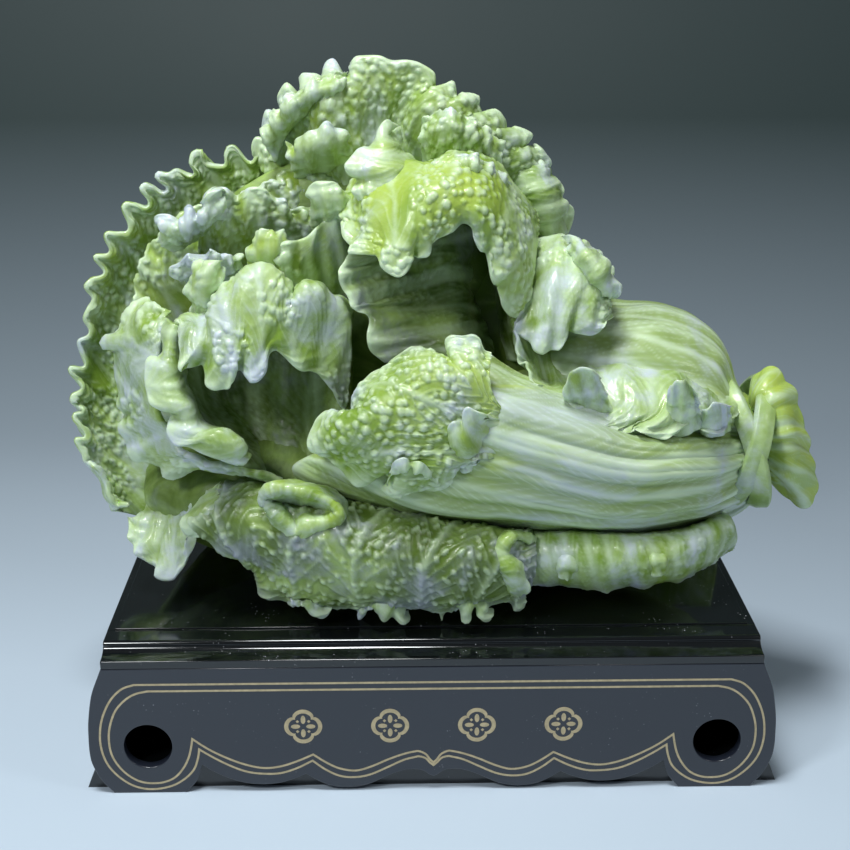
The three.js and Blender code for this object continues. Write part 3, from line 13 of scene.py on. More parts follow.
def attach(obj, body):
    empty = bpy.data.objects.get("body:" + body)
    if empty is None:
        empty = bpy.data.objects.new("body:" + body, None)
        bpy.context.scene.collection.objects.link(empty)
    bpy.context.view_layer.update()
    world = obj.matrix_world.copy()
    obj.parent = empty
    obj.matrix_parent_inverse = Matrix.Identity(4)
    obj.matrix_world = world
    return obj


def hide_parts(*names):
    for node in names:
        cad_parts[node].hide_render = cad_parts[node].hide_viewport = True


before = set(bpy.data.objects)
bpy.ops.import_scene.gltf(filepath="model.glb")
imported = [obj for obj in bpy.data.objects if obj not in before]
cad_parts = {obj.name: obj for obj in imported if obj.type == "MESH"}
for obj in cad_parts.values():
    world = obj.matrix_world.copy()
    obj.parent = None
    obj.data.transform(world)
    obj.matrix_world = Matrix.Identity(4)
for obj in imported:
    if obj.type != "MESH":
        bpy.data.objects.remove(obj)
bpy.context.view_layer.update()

bl_info = {
    "name": "Jade cabbage on a stand",
    "version": (1, 0, 0),
    "blender": (4, 5, 0),
    "location": "View3D > Sidebar > Cabbage",
    "description": "Builds the carved leaves, the stem, the roots and the lacquered stand",
    "category": "Mesh",
}


# Sizes and colours

def colour(name, description, default):
    """A colour that the user can change."""
    return FloatVectorProperty(
        name=name, description=description, default=default, subtype="COLOR", size=3, min=0, max=1
    )


def length(name, description, default):
    """A length in metres that the user can change."""
    return FloatProperty(name=name, description=description, default=default, unit="LENGTH", precision=5)


class StandSizes(bpy.types.PropertyGroup):
    bulge_width: length("Bulge width", "Across the widest part of the scroll ends", 0.363)
    scroll_radius: length("Scroll radius", "Radius of each scroll end", 0.031)
    scroll_height: length("Scroll height", "Centre of each scroll over the table", 0.028)
    eye_radius: length("Eye radius", "Radius of the round hole in each scroll", 0.0126)
    edge_round: length("Edge rounding", "Rounding of the lacquered edges", 0.0006)
    line_width: length("Line width", "Width of the pale gold lines", 0.0011)
    line_margin: length("Line margin", "From the panel's outline to the outer line", 0.0058)
    line_spacing: length("Line spacing", "Between the two gold lines", 0.0042)
    ornament_size: length("Ornament size", "Width of the four ornaments", 0.020)
    ornament_spacing: length("Ornament spacing", "Between the ornaments' centres", 0.0457)
    ornament_height: length("Ornament height", "The ornaments' centres over the table", 0.039)


class CarvingSizes(bpy.types.PropertyGroup):
    leaf_thickness: length("Leaf thickness", "Thickness of a leaf away from its edge", 0.0032)
    rim_round: length("Rim rounding", "Width over which a leaf's edge is rounded", 0.0013)
    ruffle_reach: length("Ruffle reach", "How far a frill reaches into its leaf", 0.012)
    blister_size: length("Blister size", "Width of one blister between the veins", 0.0038)
    blister_height: length("Blister height", "Height of one blister", 0.0014)
    vein_width: length("Vein width", "Width of a lateral vein", 0.0024)
    grid_step: length("Grid step", "Width of one face on a leaf", 0.00115)
    rib_width: length("Rib width", "Width of one rib on the stem", 0.0062)
    root_count: IntProperty(name="Roots", description="Lobes in the root fan", default=9, min=3)


class Finishes(bpy.types.PropertyGroup):
    jade_green: colour("Jade green", "Yellow-green body of the stone", (0.38, 0.53, 0.15))
    # Deep jade, halved, is also the painted shade of the hollows, the cores and the lowest leaf.
    jade_deep: colour("Deep jade", "Dense green in the hollows", (0.20, 0.33, 0.035))
    # Pale jade is mostly painted highlight, laid on the leaves' rims and raised places.
    jade_pale: colour("Pale jade", "Whitish rims and high places", (0.60, 0.74, 0.49))
    jade_yellow: colour("Yellow jade", "Clear yellow-green in the thin places", (0.43, 0.56, 0.09))
    # Grey-white jade: the stone's own patches, laid mostly on rims and raised places as a painted cool sheen.
    jade_lilac: colour("Grey-white jade", "Cool whitish patches in the stone", (0.57, 0.64, 0.70))
    black_lacquer: colour("Black lacquer", "Platform and base", (0.003, 0.004, 0.0045))
    # Dark lacquer of the panels and ends, tinted blue as a painted reflection of the pale bluish floor.
    navy_lacquer: colour("Blue-black lacquer", "Panels and ends", (0.010, 0.013, 0.022))
    gold: colour("Gold", "Inlaid lines and ornaments", (0.62, 0.50, 0.30))
    wood: colour("Wood", "Bare framing inside", (0.36, 0.24, 0.13))
    steel: colour("Steel", "Screws", (0.55, 0.55, 0.53))
    floor: colour("Floor", "Table top", (0.56, 0.655, 0.76))
    backdrop: colour("Backdrop", "Backdrop above the table", (0.034, 0.055, 0.055))


def stand():
    return bpy.context.scene.cabbage_stand


def carving():
    return bpy.context.scene.cabbage_carving


def finishes():
    return bpy.context.scene.cabbage_finishes


# The carving's box, from which the leaves' places are shares, in metres

VIEW_EYE_SHARES = (0.435, -4.713, 1.241)
VIEW_REACH_SHARE = 1.5
VIEW_MIDDLE_SHARE = 0.425
VIEW_DIP = math.atan(0.338)
VIEW_TURN = 0.02
BOX_LOW = Vector((-0.200, -0.075, 0.0853))
BOX_SIZE = Vector((0.417, 0.150, 0.287))


def placed(shares):
    """The point at these shares of the carving's box, as a row of numbers."""
    return np.array(BOX_LOW) + np.array(shares) * np.array(BOX_SIZE)


def place_seen(net):
    """Points of an (across, down, depth) net, placed along their lines of sight."""
    net = np.asarray(net, dtype=float)
    sideways = net[..., 0] - VIEW_MIDDLE_SHARE
    upwards = VIEW_MIDDLE_SHARE - net[..., 1]
    ahead = VIEW_REACH_SHARE * math.cos(VIEW_DIP) + upwards * math.sin(VIEW_DIP)
    rise = upwards * math.cos(VIEW_DIP) - VIEW_REACH_SHARE * math.sin(VIEW_DIP)
    step_x = ahead * math.sin(VIEW_TURN) + sideways * math.cos(VIEW_TURN)
    step_y = ahead * math.cos(VIEW_TURN) - sideways * math.sin(VIEW_TURN)
    across, back, up = VIEW_EYE_SHARES
    steps = (net[..., 2] - back) / (step_y * BOX_SIZE.x / BOX_SIZE.y)
    shares = np.stack(
        [
            across + steps * step_x,
            net[..., 2],
            up + steps * rise * BOX_SIZE.x / BOX_SIZE.z,
        ],
        axis=-1,
    )
    return placed(shares)


def smooth(points, where):
    """A Catmull-Rom curve through the first axis of points, at places from 0 to 1."""
    count = points.shape[0]
    ends = np.concatenate([2 * points[:1] - points[1:2], points, 2 * points[-1:] - points[-2:-1]])
    place = np.clip(where, 0, 1) * (count - 1)
    first = np.minimum(place.astype(int), count - 2)
    f = (place - first).reshape((-1,) + (1,) * (points.ndim - 1))
    a, b, c, d = ends[first], ends[first + 1], ends[first + 2], ends[first + 3]
    slope = c - a
    bend = 2 * a - 5 * b + 4 * c - d
    twist = 3 * b - a - 3 * c + d
    return 0.5 * (2 * b + slope * f + bend * f**2 + twist * f**3)


def unit(vectors):
    """The same directions, each one metre long."""
    return vectors / np.maximum(np.linalg.norm(vectors, axis=-1, keepdims=True), 1e-12)


def smoothstep(low, high, values):
    """0 below low, 1 above high, and smooth between them."""
    t = np.clip((values - low) / (high - low), 0, 1)
    return t * t * (3 - 2 * t)


# Small repeatable noise on numbers

def hashed(*keys):
    """Repeatable values from 0 to 1 for whole-number keys."""
    mixed = np.zeros(np.broadcast(*keys).shape, dtype=np.uint64)
    for factor, key in zip((73856093, 19349663, 83492791, 2654435761), keys):
        mixed ^= np.asarray(key, dtype=np.int64).astype(np.uint64) * np.uint64(factor)
    mixed ^= mixed >> np.uint64(13)
    mixed *= np.uint64(0x5BD1E9955BD1E995)
    mixed ^= mixed >> np.uint64(29)
    return (mixed % np.uint64(100003)).astype(float) / 100003


def wander(values, seed):
    """Smooth noise from -1 to 1 along a line."""
    first = np.floor(values)
    f = values - first
    f = f * f * (3 - 2 * f)
    low = hashed(first, np.full_like(first, seed))
    high = hashed(first + 1, np.full_like(first, seed))
    return 2 * (low * (1 - f) + high * f) - 1


def wander_space(places, size, seed):
    """Smooth noise from -1 to 1 through space, one wander for each size."""
    spots = places / size
    first = np.floor(spots)
    f = spots - first
    f = f * f * (3 - 2 * f)
    total = 0
    for corner in itertools.product((0, 1), repeat=3):
        weight = np.prod(np.where(np.array(corner) == 1, f, 1 - f), axis=-1)
        cell = first + corner
        total = total + weight * hashed(cell[..., 0], cell[..., 1], cell[..., 2], np.full(weight.shape, seed))
    return 2 * total - 1


def beads(places, size, seed, jitter=0.7):
    """Round blisters of mixed sizes strewn through space: 1 at each crown, 0 between them."""
    spots = places / size
    first = np.floor(spots)
    best = np.zeros(spots.shape[:-1])
    for corner in itertools.product((-1, 0, 1), repeat=3):
        cell = first + corner
        keys = (cell[..., 0], cell[..., 1], cell[..., 2])
        seeds = [np.full(best.shape, seed + extra) for extra in range(4)]
        centre = cell + 0.5 + jitter * (np.stack([hashed(*keys, seeds[way]) for way in range(3)], axis=-1) - 0.5)
        radius = 0.34 + 0.3 * hashed(*keys, seeds[3])
        away = np.linalg.norm(spots - centre, axis=-1) / radius
        best = np.maximum(best, np.sqrt(np.clip(1 - away**2, 0, 1)) * radius / 0.6)
    return best


# Meshes

def piece(name, mesh, body, finish, replaced=(), smooth_faces=True):
    """A named piece that rides on a body and takes a finish."""
    mesh.name = name
    made = bpy.data.objects.new(name, mesh)
    bpy.context.scene.collection.objects.link(made)
    mesh.materials.clear()
    mesh.materials.append(finish)
    if smooth_faces:
        mesh.shade_smooth()
    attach(made, body)
    if replaced:
        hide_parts(*replaced)
    return made


def mesh_from(bm, name):
    """Turns a worked mesh into a named one and frees it."""
    mesh = bpy.data.meshes.new(name)
    bm.to_mesh(mesh)
    bm.free()
    return mesh


def closed_sheet(name, columns, rows):
    """Two grids, back to back, joined round their edges, and each vertex's column, row and side."""
    bm = bmesh.new()
    bmesh.ops.create_grid(bm, x_segments=columns, y_segments=rows, size=0.5)
    copied = bmesh.ops.duplicate(bm, geom=list(bm.verts) + list(bm.edges) + list(bm.faces))
    back = [part for part in copied["geom"] if isinstance(part, bmesh.types.BMVert)]
    back_faces = [part for part in copied["geom"] if isinstance(part, bmesh.types.BMFace)]
    bmesh.ops.translate(bm, verts=back, vec=(0, 0, -0.1))
    bmesh.ops.reverse_faces(bm, faces=back_faces)
    bmesh.ops.bridge_loops(bm, edges=[edge for edge in bm.edges if edge.is_boundary])
    mesh = mesh_from(bm, name)
    spots = vertex_places(mesh)
    column = np.rint((spots[:, 0] + 0.5) * columns).astype(int)
    row = np.rint((spots[:, 1] + 0.5) * rows).astype(int)
    return mesh, column, row, spots[:, 2] < -0.05


def vertex_places(mesh):
    """The vertices' places, a row of three numbers for each."""
    places = np.empty(3 * len(mesh.vertices))
    mesh.vertices.foreach_get("co", places)
    return places.reshape(-1, 3)


def move_vertices(mesh, places):
    """Puts the vertices at the given places."""
    mesh.vertices.foreach_set("co", np.ascontiguousarray(places, dtype=float).ravel())
    mesh.update()


def tell(mesh, name, values):
    """Keeps a number at each vertex for the finish to read."""
    layer = mesh.attributes.new(name, "FLOAT", "POINT")
    layer.data.foreach_set("value", np.ascontiguousarray(values, dtype=np.float32))


def along_line(points, at):
    """Places along a smooth line through the given points, evenly by length."""
    fine = smooth(np.array(points, float), np.linspace(0, 1, 16 * len(points)))
    steps = np.linalg.norm(np.diff(fine, axis=0), axis=1)
    reached = np.concatenate([[0], np.cumsum(steps)])
    return np.stack([np.interp(at * reached[-1], reached, part) for part in fine.T], axis=-1)


def placed_row(row, trace, at):
    """One row of a net in the carving, following its traced line where it has one."""
    line = smooth(row, at)
    if trace:
        line[:, :2] = along_line(trace, at) / 1000
    return place_seen(line)


class Sheet:
    """A leaf's surface, measured on a grid: places, directions and distances in metres."""

    def __init__(self, net, step, free_sides, traces=None):
        net, traces = np.array(net, float), traces or {}
        last_row = len(net) - 1
        across = np.linspace(0, 1, 120)
        edge = placed_row(net[-1], traces.get(last_row), across)
        others = [placed_row(row, traces.get(index), across) for index, row in enumerate(net)]
        middle = np.array(others)[:, 60]
        lengths = [np.linalg.norm(np.diff(line, axis=0), axis=1).sum() for line in (edge, middle)]
        self.columns = max(12, round(lengths[0] / step))
        self.rows = max(10, round(lengths[1] / step))
        self.u = np.linspace(0, 1, self.columns + 1)
        net = np.array([placed_row(row, traces.get(index), self.u) for index, row in enumerate(net)])
        spread = np.linspace(0, 1, self.rows + 1)
        self.v = spread + 0.12 * np.sin(math.pi * spread) * spread
        self.base = smooth(net, self.v).transpose(1, 0, 2)
        self.to_side = unit(np.gradient(self.base, axis=0))
        self.to_edge = unit(np.gradient(self.base, axis=1))
        self.normal = unit(np.cross(self.to_side, self.to_edge))
        side_steps = np.linalg.norm(np.diff(self.base, axis=0), axis=2)
        edge_steps = np.linalg.norm(np.diff(self.base, axis=1), axis=2)
        self.a = np.concatenate([np.zeros((1, self.rows + 1)), np.cumsum(side_steps, axis=0)])
        self.b = np.concatenate([np.zeros((self.columns + 1, 1)), np.cumsum(edge_steps, axis=1)], axis=1)
        self.width = self.a[-1:, :]
        self.height = self.b[:, -1:]
        self.free_sides = free_sides
        self.traced = {"root": 0 in traces, "edge": last_row in traces}
        self.step = step

    def face_towards(self, way):
        """Turns the outer side to the given direction."""
        if (self.normal @ np.array(way)).mean() < 0:
            self.normal = -self.normal
            return True
        return False

    def own_waves(self, side):
        """How far a traced edge lies outside its own evened line, from about -1 to 1, or None."""
        if not self.traced.get(side):
            return None
        line, out = self.base[:, -1], self.to_edge[:, -1]
        if side == "root":
            line, out = self.base[:, 0], -self.to_edge[:, 0]
        reach = max(3, round(0.011 / self.step))
        window = np.hanning(2 * reach + 3)[1:-1]
        padded = np.pad(line, ((reach, reach), (0, 0)), mode="reflect", reflect_type="odd")
        even = np.stack([np.convolve(part, window / window.sum(), "valid") for part in padded.T], axis=-1)
        off = ((line - even) * out).sum(axis=-1)
        return np.clip(off / max(2 * off.std(), 1e-5), -1, 1)[:, None]

    def edges(self):
        """For each free edge: distance to it, place along it, the way out over it, and its own waves."""
        found = []
        if "edge" in self.free_sides:
            found.append((self.height - self.b, self.a + 0 * self.b, self.to_edge, self.own_waves("edge")))
        if "root" in self.free_sides:
            found.append((self.b, -self.a + 0 * self.b, -self.to_edge, self.own_waves("root")))
        if "start" in self.free_sides:
            found.append((self.a, -self.b, -self.to_side, None))
        if "end" in self.free_sides:
            found.append((self.width - self.a, self.width + self.b, self.to_side, None))
        return found


def frill(place, wave_length, seed):
    """A frill along an edge: how far it swings out or in, from -1 to 1, and its rounded lobes, from 0 to 1."""
    uneven = place + 0.42 * wave_length * wander(place / (1.6 * wave_length), seed)
    phase = 2 * math.pi * uneven / wave_length
    height = 0.75 + 0.35 * wander(place / (0.9 * wave_length), seed + 11)
    swing = height * np.sin(phase) + 0.22 * np.sin(2.6 * phase + seed)
    lobes = np.abs(np.sin(phase)) ** 0.55 * (0.75 + 0.25 * wander(place / wave_length, seed + 5))
    teeth = np.abs(np.sin(2.7 * phase + 2 * wander(place / wave_length, seed + 6)))
    return swing, 0.8 * lobes + 0.2 * teeth


def vein_pattern(sheet, veins, vein_bend, slant, seed):
    """How strongly each spot lies on a main vein and on a branch of one, and how far between veins."""
    a, b = sheet.a, sheet.b
    v = b / sheet.height
    fan = (a / sheet.width - 0.5) * (0.72 + 0.28 * v) + 0.5
    lean = fan + vein_bend * v * (1 - 0.5 * v) * (fan - 0.5) + slant * v
    lines = lean * veins + 0.2 * wander_space(sheet.base, 0.025, seed + 3)
    off = np.abs(lines - np.round(lines))
    vein = np.exp(-((off * sheet.width / veins / carving().vein_width) ** 2)) * (1 - 0.55 * v)
    turns = b / 0.0085 + 5.0 * off + wander_space(sheet.base, 0.02, seed)
    branch = np.clip(np.cos(2 * math.pi * turns), 0, 1) ** 3 * (1 - vein)
    return vein, branch, np.cos(math.pi * off) ** 2


def leaf(name, net, ruffle=0.0046, wave=0.024, curl=0.0, lobe=0.004, reach=None, veins=7, vein_height=0.0010,
         vein_bend=0.25, slant=0.0, puff=0.0016, blisters=1.0, blister_cover=0.0, free_sides=("edge",),
         towards=(0, -1, 0), seed=1, step=None, ribs=0.0, rib_count=None, scallop=0.0, scales=False,
         thickness=None, cool=0.3, traces=None, finish=None):
    """One carved leaf: a smooth sheet that swells between its veins and frills along its free edges."""
    sizes = carving()
    sheet = Sheet(net, step or sizes.grid_step, free_sides, traces)
    turned = sheet.face_towards(towards)
    a, b = sheet.a, sheet.b
    rise = np.zeros_like(b)
    push = np.zeros(b.shape + (3,))
    rim = np.zeros_like(b)
    fold = np.zeros_like(b)
    nearest = np.full(b.shape, 9.0)
    reach = reach or sizes.ruffle_reach
    for index, (away, place, out, own) in enumerate(sheet.edges()):
        away = np.maximum(away, 0)
        swing, lobes = frill(place, wave, seed + 31 * index)
        if own is not None:
            swing, lobes = 1.3 * own + 0.3 * swing, 0.7 + own
        near = np.exp(-((away / reach) ** 1.5))
        rise += near * (ruffle * swing + curl)
        push += out * (near**1.5 * lobe * (lobes - 0.7))[..., None]
        rim = np.maximum(rim, np.exp(-away / 0.0034))
        fold += near * swing
        nearest = np.minimum(nearest, away)
    vein, branch, between = vein_pattern(sheet, veins, vein_bend, slant, seed)
    vein, branch = vein * (1 - 0.8 * rim), branch * (1 - rim)
    rise += puff * (1 - between) * smoothstep(0, 0.25, b / sheet.height) * (1 - 0.6 * rim)
    rise += 0.0008 * wander_space(sheet.base, 0.012, seed + 21) * (1 - 0.5 * rim)
    cover = smoothstep(-0.25, 0.25, wander_space(sheet.base, 0.02, seed + 9) + blister_cover)
    covered = blisters * cover * (1 - smoothstep(0.45, 0.95, vein)) * (1 - smoothstep(0.5, 1.0, rim))
    covered = covered * smoothstep(0.04, 0.3, b / sheet.height + ("root" in free_sides))
    bumps = covered * beads(sheet.base, sizes.blister_size, seed)
    if scales:
        rows = np.stack([a + slant * sheet.width * b / sheet.height, b, 0 * b], axis=-1)
        bumps = covered * beads(rows, 1.15 * sizes.blister_size, seed, 0.3)
    detail = vein_height * (vein + 0.35 * branch) + sizes.blister_height * bumps
    if ribs:
        count = rib_count or round(float(sheet.width.mean()) / sizes.rib_width)
        lines = a / sheet.width * count + 0.22 * wander_space(sheet.base, 0.05, seed + 41) * (scallop == 0)
        ridges = np.abs(np.sin(math.pi * lines)) ** 0.6 * (0.75 + 0.25 * np.sin(2.3 * np.floor(lines) + seed))
        fine = np.abs(np.sin(math.pi * (2.9 * lines + 0.6 * wander_space(sheet.base, 0.04, seed + 43)))) ** 0.7
        ridges = (ridges + 0.2 * fine) / 1.2 if not scallop else ridges**2.2
        detail = detail + ribs * ridges * (1 - rim * (scallop == 0))
        push += sheet.to_edge * (scallop * ridges * smoothstep(0.4, 1.0, b / sheet.height))[..., None]
        vein = np.maximum(vein, ridges**3)
    full = thickness or sizes.leaf_thickness
    rounded = np.sqrt(np.clip(1 - (1 - np.clip(nearest / sizes.rim_round, 0, 1)) ** 2, 0.02, 1))
    half = 0.5 * full * rounded * (0.55 + 0.45 * smoothstep(0, 0.016, nearest))
    middle = sheet.base + sheet.normal * rise[..., None] + push
    outer = middle + sheet.normal * (half + detail * rounded)[..., None]
    inner = middle - sheet.normal * (half - 0.35 * detail * rounded)[..., None]
    mesh, i, j, behind = closed_sheet(name, sheet.columns, sheet.rows)
    move_vertices(mesh, np.where(behind[:, None], inner[i, j], outer[i, j]))
    if turned:
        mesh.flip_normals()
    facing = np.where(behind, -1.0, 1.0)
    # Painted light and shade: lobes that swing out, blisters and veins are paled as if lit, and the hollows between
    # them are kept darker.
    painted_light_and_shade = 0.45 * fold[i, j] * facing + 0.5 * bumps[i, j] + 0.5 * vein[i, j] + 0.15 * branch[i, j]
    # The finishes pale the rim as a painted highlight, for light shining through the thin edge.
    tell(mesh, "rim", rim[i, j])
    tell(mesh, "high", np.clip(0.35 + painted_light_and_shade, 0, 1))
    tell(mesh, "cool", np.full(len(facing), cool))
    return piece(name, mesh, "carving", finish or jade_finish(), ["jade_carving"])


# Finishes

class Value:
    """A shader socket that takes part in Python sums."""

    def __init__(self, finish, socket):
        self.finish = finish
        self.socket = socket

    def math(self, operation, *others):
        values = {index + 1: other for index, other in enumerate(others)}
        return self.finish.add("ShaderNodeMath", {"operation": operation}, {0: self, **values})

    def __add__(self, other):
        return self.math("ADD", other)

    def __radd__(self, other):
        return self.math("ADD", other)

    def __sub__(self, other):
        return self.math("SUBTRACT", other)

    def __rsub__(self, other):
        return self.finish.add("ShaderNodeMath", {"operation": "SUBTRACT"}, {0: other, 1: self})

    def __mul__(self, other):
        return self.math("MULTIPLY", other)

    def __rmul__(self, other):
        return self.math("MULTIPLY", other)

    def __pow__(self, other):
        return self.math("POWER", other)

    def clamped(self):
        return self.math("MAXIMUM", 0.0).math("MINIMUM", 1.0)

    def between(self, low, high):
        """0 below low, 1 above high, and smooth between them."""
        sockets = {"Value": self, "From Min": low, "From Max": high}
        settings = {"interpolation_type": "SMOOTHSTEP"}
        return self.finish.add("ShaderNodeMapRange", settings, sockets)


class Finish:
    """A procedural material, built node by node."""

    def __init__(self, name, **constants):
        self.material = bpy.data.materials.new(name)
        self.material.use_nodes = True
        self.tree = self.material.node_tree
        self.shader = self.tree.nodes["Principled BSDF"]
        for socket, value in constants.items():
            self.shader.inputs[socket.replace("_", " ").title().replace("Ior", "IOR")].default_value = value

    def add(self, kind, settings=None, sockets=None, output=0):
        """A node of this kind, with its settings first and then its sockets' values or links."""
        node = self.tree.nodes.new(kind)
        for key, value in (settings or {}).items():
            setattr(node, key, value)
        for key, value in (sockets or {}).items():
            self.feed(node.inputs[key], value)
        return Value(self, node.outputs[output])

    def feed(self, socket, value):
        if isinstance(value, Value):
            self.tree.links.new(value.socket, socket)
        elif hasattr(value, "__len__") and len(value) == 3 and socket.type == "RGBA":
            socket.default_value = (*value, 1)
        else:
            socket.default_value = value

    def places(self):
        return self.add("ShaderNodeTexCoord", output="Object")

    def attribute(self, name):
        return self.add("ShaderNodeAttribute", {"attribute_name": name}, output="Fac")

    def stretched(self, where, scale, turn=(0, 0, 0)):
        return self.add("ShaderNodeMapping", None, {"Vector": where, "Scale": scale, "Rotation": turn})

    def noise(self, where, scale, detail=4.0, roughness=0.55, distortion=0.0):
        sockets = {"Vector": where, "Scale": scale, "Detail": detail, "Roughness": roughness}
        return self.add("ShaderNodeTexNoise", None, {**sockets, "Distortion": distortion}, "Fac")

    def cells(self, where, scale, feature="F1"):
        settings = {"feature": feature}
        return self.add("ShaderNodeTexVoronoi", settings, {"Vector": where, "Scale": scale}, "Distance")

    def mix(self, share, low, high):
        """One colour turning into another as share goes from 0 to 1."""
        return self.add("ShaderNodeMix", {"data_type": "RGBA"}, {0: share, 6: low, 7: high}, 2)

    def bump(self, height, distance, strength=1.0, under=None):
        sockets = {"Height": height, "Distance": distance, "Strength": strength}
        if under is not None:
            sockets["Normal"] = under
        return self.add("ShaderNodeBump", None, sockets, "Normal")

    def surface(self, colour_value, roughness, normal=None):
        self.feed(self.shader.inputs["Base Color"], colour_value)
        self.feed(self.shader.inputs["Roughness"], roughness)
        if normal is not None:
            self.feed(self.shader.inputs["Normal"], normal)
        return self.material


def made_once(build):
    """Keeps the finish that a function builds, so that its pieces share it."""
    def shared():
        name = build.__name__
        return bpy.data.materials.get(name) or build(name)
    return shared


def stone(name):
    """The start of a polished, translucent stone finish."""
    return Finish(
        name, subsurface_weight=0.15, subsurface_radius=(0.7, 1.0, 0.3), subsurface_scale=0.003,
        ior=1.5, coat_weight=0.2, coat_roughness=0.07,
    )


@made_once
def jade_finish(name):
    """Polished translucent stone: yellow-green, clouded with pale and grey-white patches, its rims and raised places
    paled as painted highlight.
    """
    colours = finishes()
    finish = stone(name)
    where = finish.places()
    rim = finish.attribute("rim")
    high = finish.attribute("high")
    cool = finish.attribute("cool")
    clouds = finish.noise(where, 20.0, 5.0, 0.6, 0.2)
    warmth = finish.noise(where, 15.0, 4.0, 0.6, 0.2)
    patches = finish.noise(where, 34.0, 6.0, 0.62, 0.3)
    flecks = finish.noise(where, 190.0, 4.0, 0.6)
    body = finish.mix(clouds.between(0.40, 0.64), colours.jade_deep, colours.jade_green)
    yellow = warmth.between(0.40, 0.66) * (0.85 - cool)
    body = finish.mix(yellow.clamped(), body, colours.jade_yellow)
    # Painted highlight: rims and raised places are paled, over the stone's random pale clouds and flecks.
    pale = (high - 0.34) * 1.5 + rim * 0.7 + (flecks - 0.5) * 0.6 + (clouds - 0.5) * 0.9 + (cool - 0.3) * 0.4
    body = finish.mix(pale.clamped(), body, colours.jade_pale)
    # The stone's grey-white patches, drawn mostly on raised places and rims as a painted cool sheen.
    lilac = (patches + cool * 0.12 - 0.06).between(0.46, 0.66) * (high * 0.9 + rim * 0.6 + cool * 0.4).clamped()
    body = finish.mix(lilac, body, colours.jade_lilac)
    rough = 0.28 + flecks * 0.2
    normal = finish.bump(flecks + finish.noise(where, 60.0, 4.0) * 1.5, 0.0006, 0.6)
    return finish.surface(body, rough, normal)


@made_once
def painted_shade_jade_finish(name):
    """The same stone darkened with painted shade, for the deep hollows, the cores and the lowest leaf, which lie in
    shade: dark green with grey-white patches.
    """
    colours = finishes()
    finish = stone(name)
    where = finish.places()
    rim = finish.attribute("rim")
    high = finish.attribute("high")
    cool = finish.attribute("cool")
    clouds = finish.noise(where, 22.0, 5.0, 0.6, 0.6)
    patches = finish.noise(where, 40.0, 5.0, 0.6, 0.3)
    flecks = finish.noise(where, 170.0, 4.0, 0.6)
    # Painted shade: half the deep green stands for the shade in the hollows and under the head.
    dark = tuple(0.5 * part for part in colours.jade_deep)
    body = finish.mix(clouds.between(0.42, 0.70), dark, colours.jade_green)
    # Painted highlight: rims and raised places are paled even here.
    pale = (high - 0.38) * 1.3 + rim * 0.8 + (flecks - 0.5) * 0.5
    body = finish.mix(pale.clamped(), body, colours.jade_pale)
    # Grey-white patches, dimmed and laid mostly on raised places as a painted cool sheen.
    lilac = (patches + cool * 0.3 - 0.2).between(0.40, 0.62) * (0.25 + high).clamped()
    body = finish.mix(lilac, body, tuple(0.55 * part for part in colours.jade_lilac))
    normal = finish.bump(flecks + clouds, 0.0006, 0.6)
    return finish.surface(body, 0.3 + flecks * 0.2, normal)


@made_once
def stem_finish(name):
    """The same stone along the stem: ribs paled as painted highlight, yellow-green grooves darkened as painted shade,
    yellow streaks and broad grey-white patches.
    """
    colours = finishes()
    finish = stone(name)
    where = finish.places()
    rib = finish.attribute("high")
    streaks = finish.noise(finish.stretched(where, (9.0, 60.0, 60.0)), 1.0, 5.0, 0.6, 0.5)
    patches = finish.noise(finish.stretched(where, (9.0, 17.0, 17.0)), 1.0, 5.0, 0.6, 0.8)
    flecks = finish.noise(where, 160.0, 3.0, 0.6)
    # Painted shade and highlight: the grooves are darkened and the raised ribs paled, as the lamps would light them.
    groove = tuple(0.75 * part for part in colours.jade_green)
    body = finish.mix(rib.between(0.3, 0.85), groove, colours.jade_pale)
    body = finish.mix((streaks - rib * 0.1).between(0.50, 0.66) * 0.75, body, colours.jade_yellow)
    # Grey-white patches laid mostly on the lit ribs, a painted cool sheen.
    lilac = patches.between(0.48, 0.64) * (0.05 + rib * 1.1).clamped()
    body = finish.mix(lilac, body, colours.jade_lilac)
    rough = 0.30 + flecks * 0.16
    normal = finish.bump(streaks, 0.0005, 0.4)
    return finish.surface(body, rough, normal)


@made_once
def root_finish(name):
    """The same stone in the root fan: ridges paled as painted highlight, and clear yellow grooves."""
    colours = finishes()
    finish = stone(name)
    where = finish.places()
    ridge = finish.attribute("high")
    clouds = finish.noise(where, 34.0, 4.0, 0.6, 0.5)
    flecks = finish.noise(where, 190.0, 3.0, 0.6)
    body = finish.mix(clouds.between(0.4, 0.6), colours.jade_yellow, colours.jade_green)
    # Painted highlight: the ridges are paled.
    pale = (ridge - 0.42) * 2.4 + (flecks - 0.5) * 0.4
    body = finish.mix(pale.clamped(), body, colours.jade_pale)
    return finish.surface(body, 0.3 + flecks * 0.16, finish.bump(flecks + clouds, 0.0005, 0.5))


def lacquer(name, base, rough_low, dust_strength):
    """Lacquered wood: a deep gloss with faint swirls and specks of dust."""
    finish = Finish(name, ior=1.5, coat_weight=0.6, coat_roughness=0.05)
    where = finish.places()
    swirl = finish.noise(where, 30.0, 5.0, 0.6)
    specks = finish.cells(where, 420.0)
    amount = finish.noise(where, 55.0, 4.0, 0.7).between(0.52, 0.72)
    dust = (0.16 - specks).between(0.0, 0.05) * amount * dust_strength
    body = finish.mix(swirl * 0.5, base, tuple(1.5 * part + 0.002 for part in base))
    body = finish.mix(dust, body, (0.55, 0.56, 0.6))
    rough = rough_low + swirl * 0.12 + dust * 0.5
    normal = finish.bump(finish.noise(where, 14.0, 3.0), 0.0006, 0.25)
    return finish.surface(body, rough, normal)


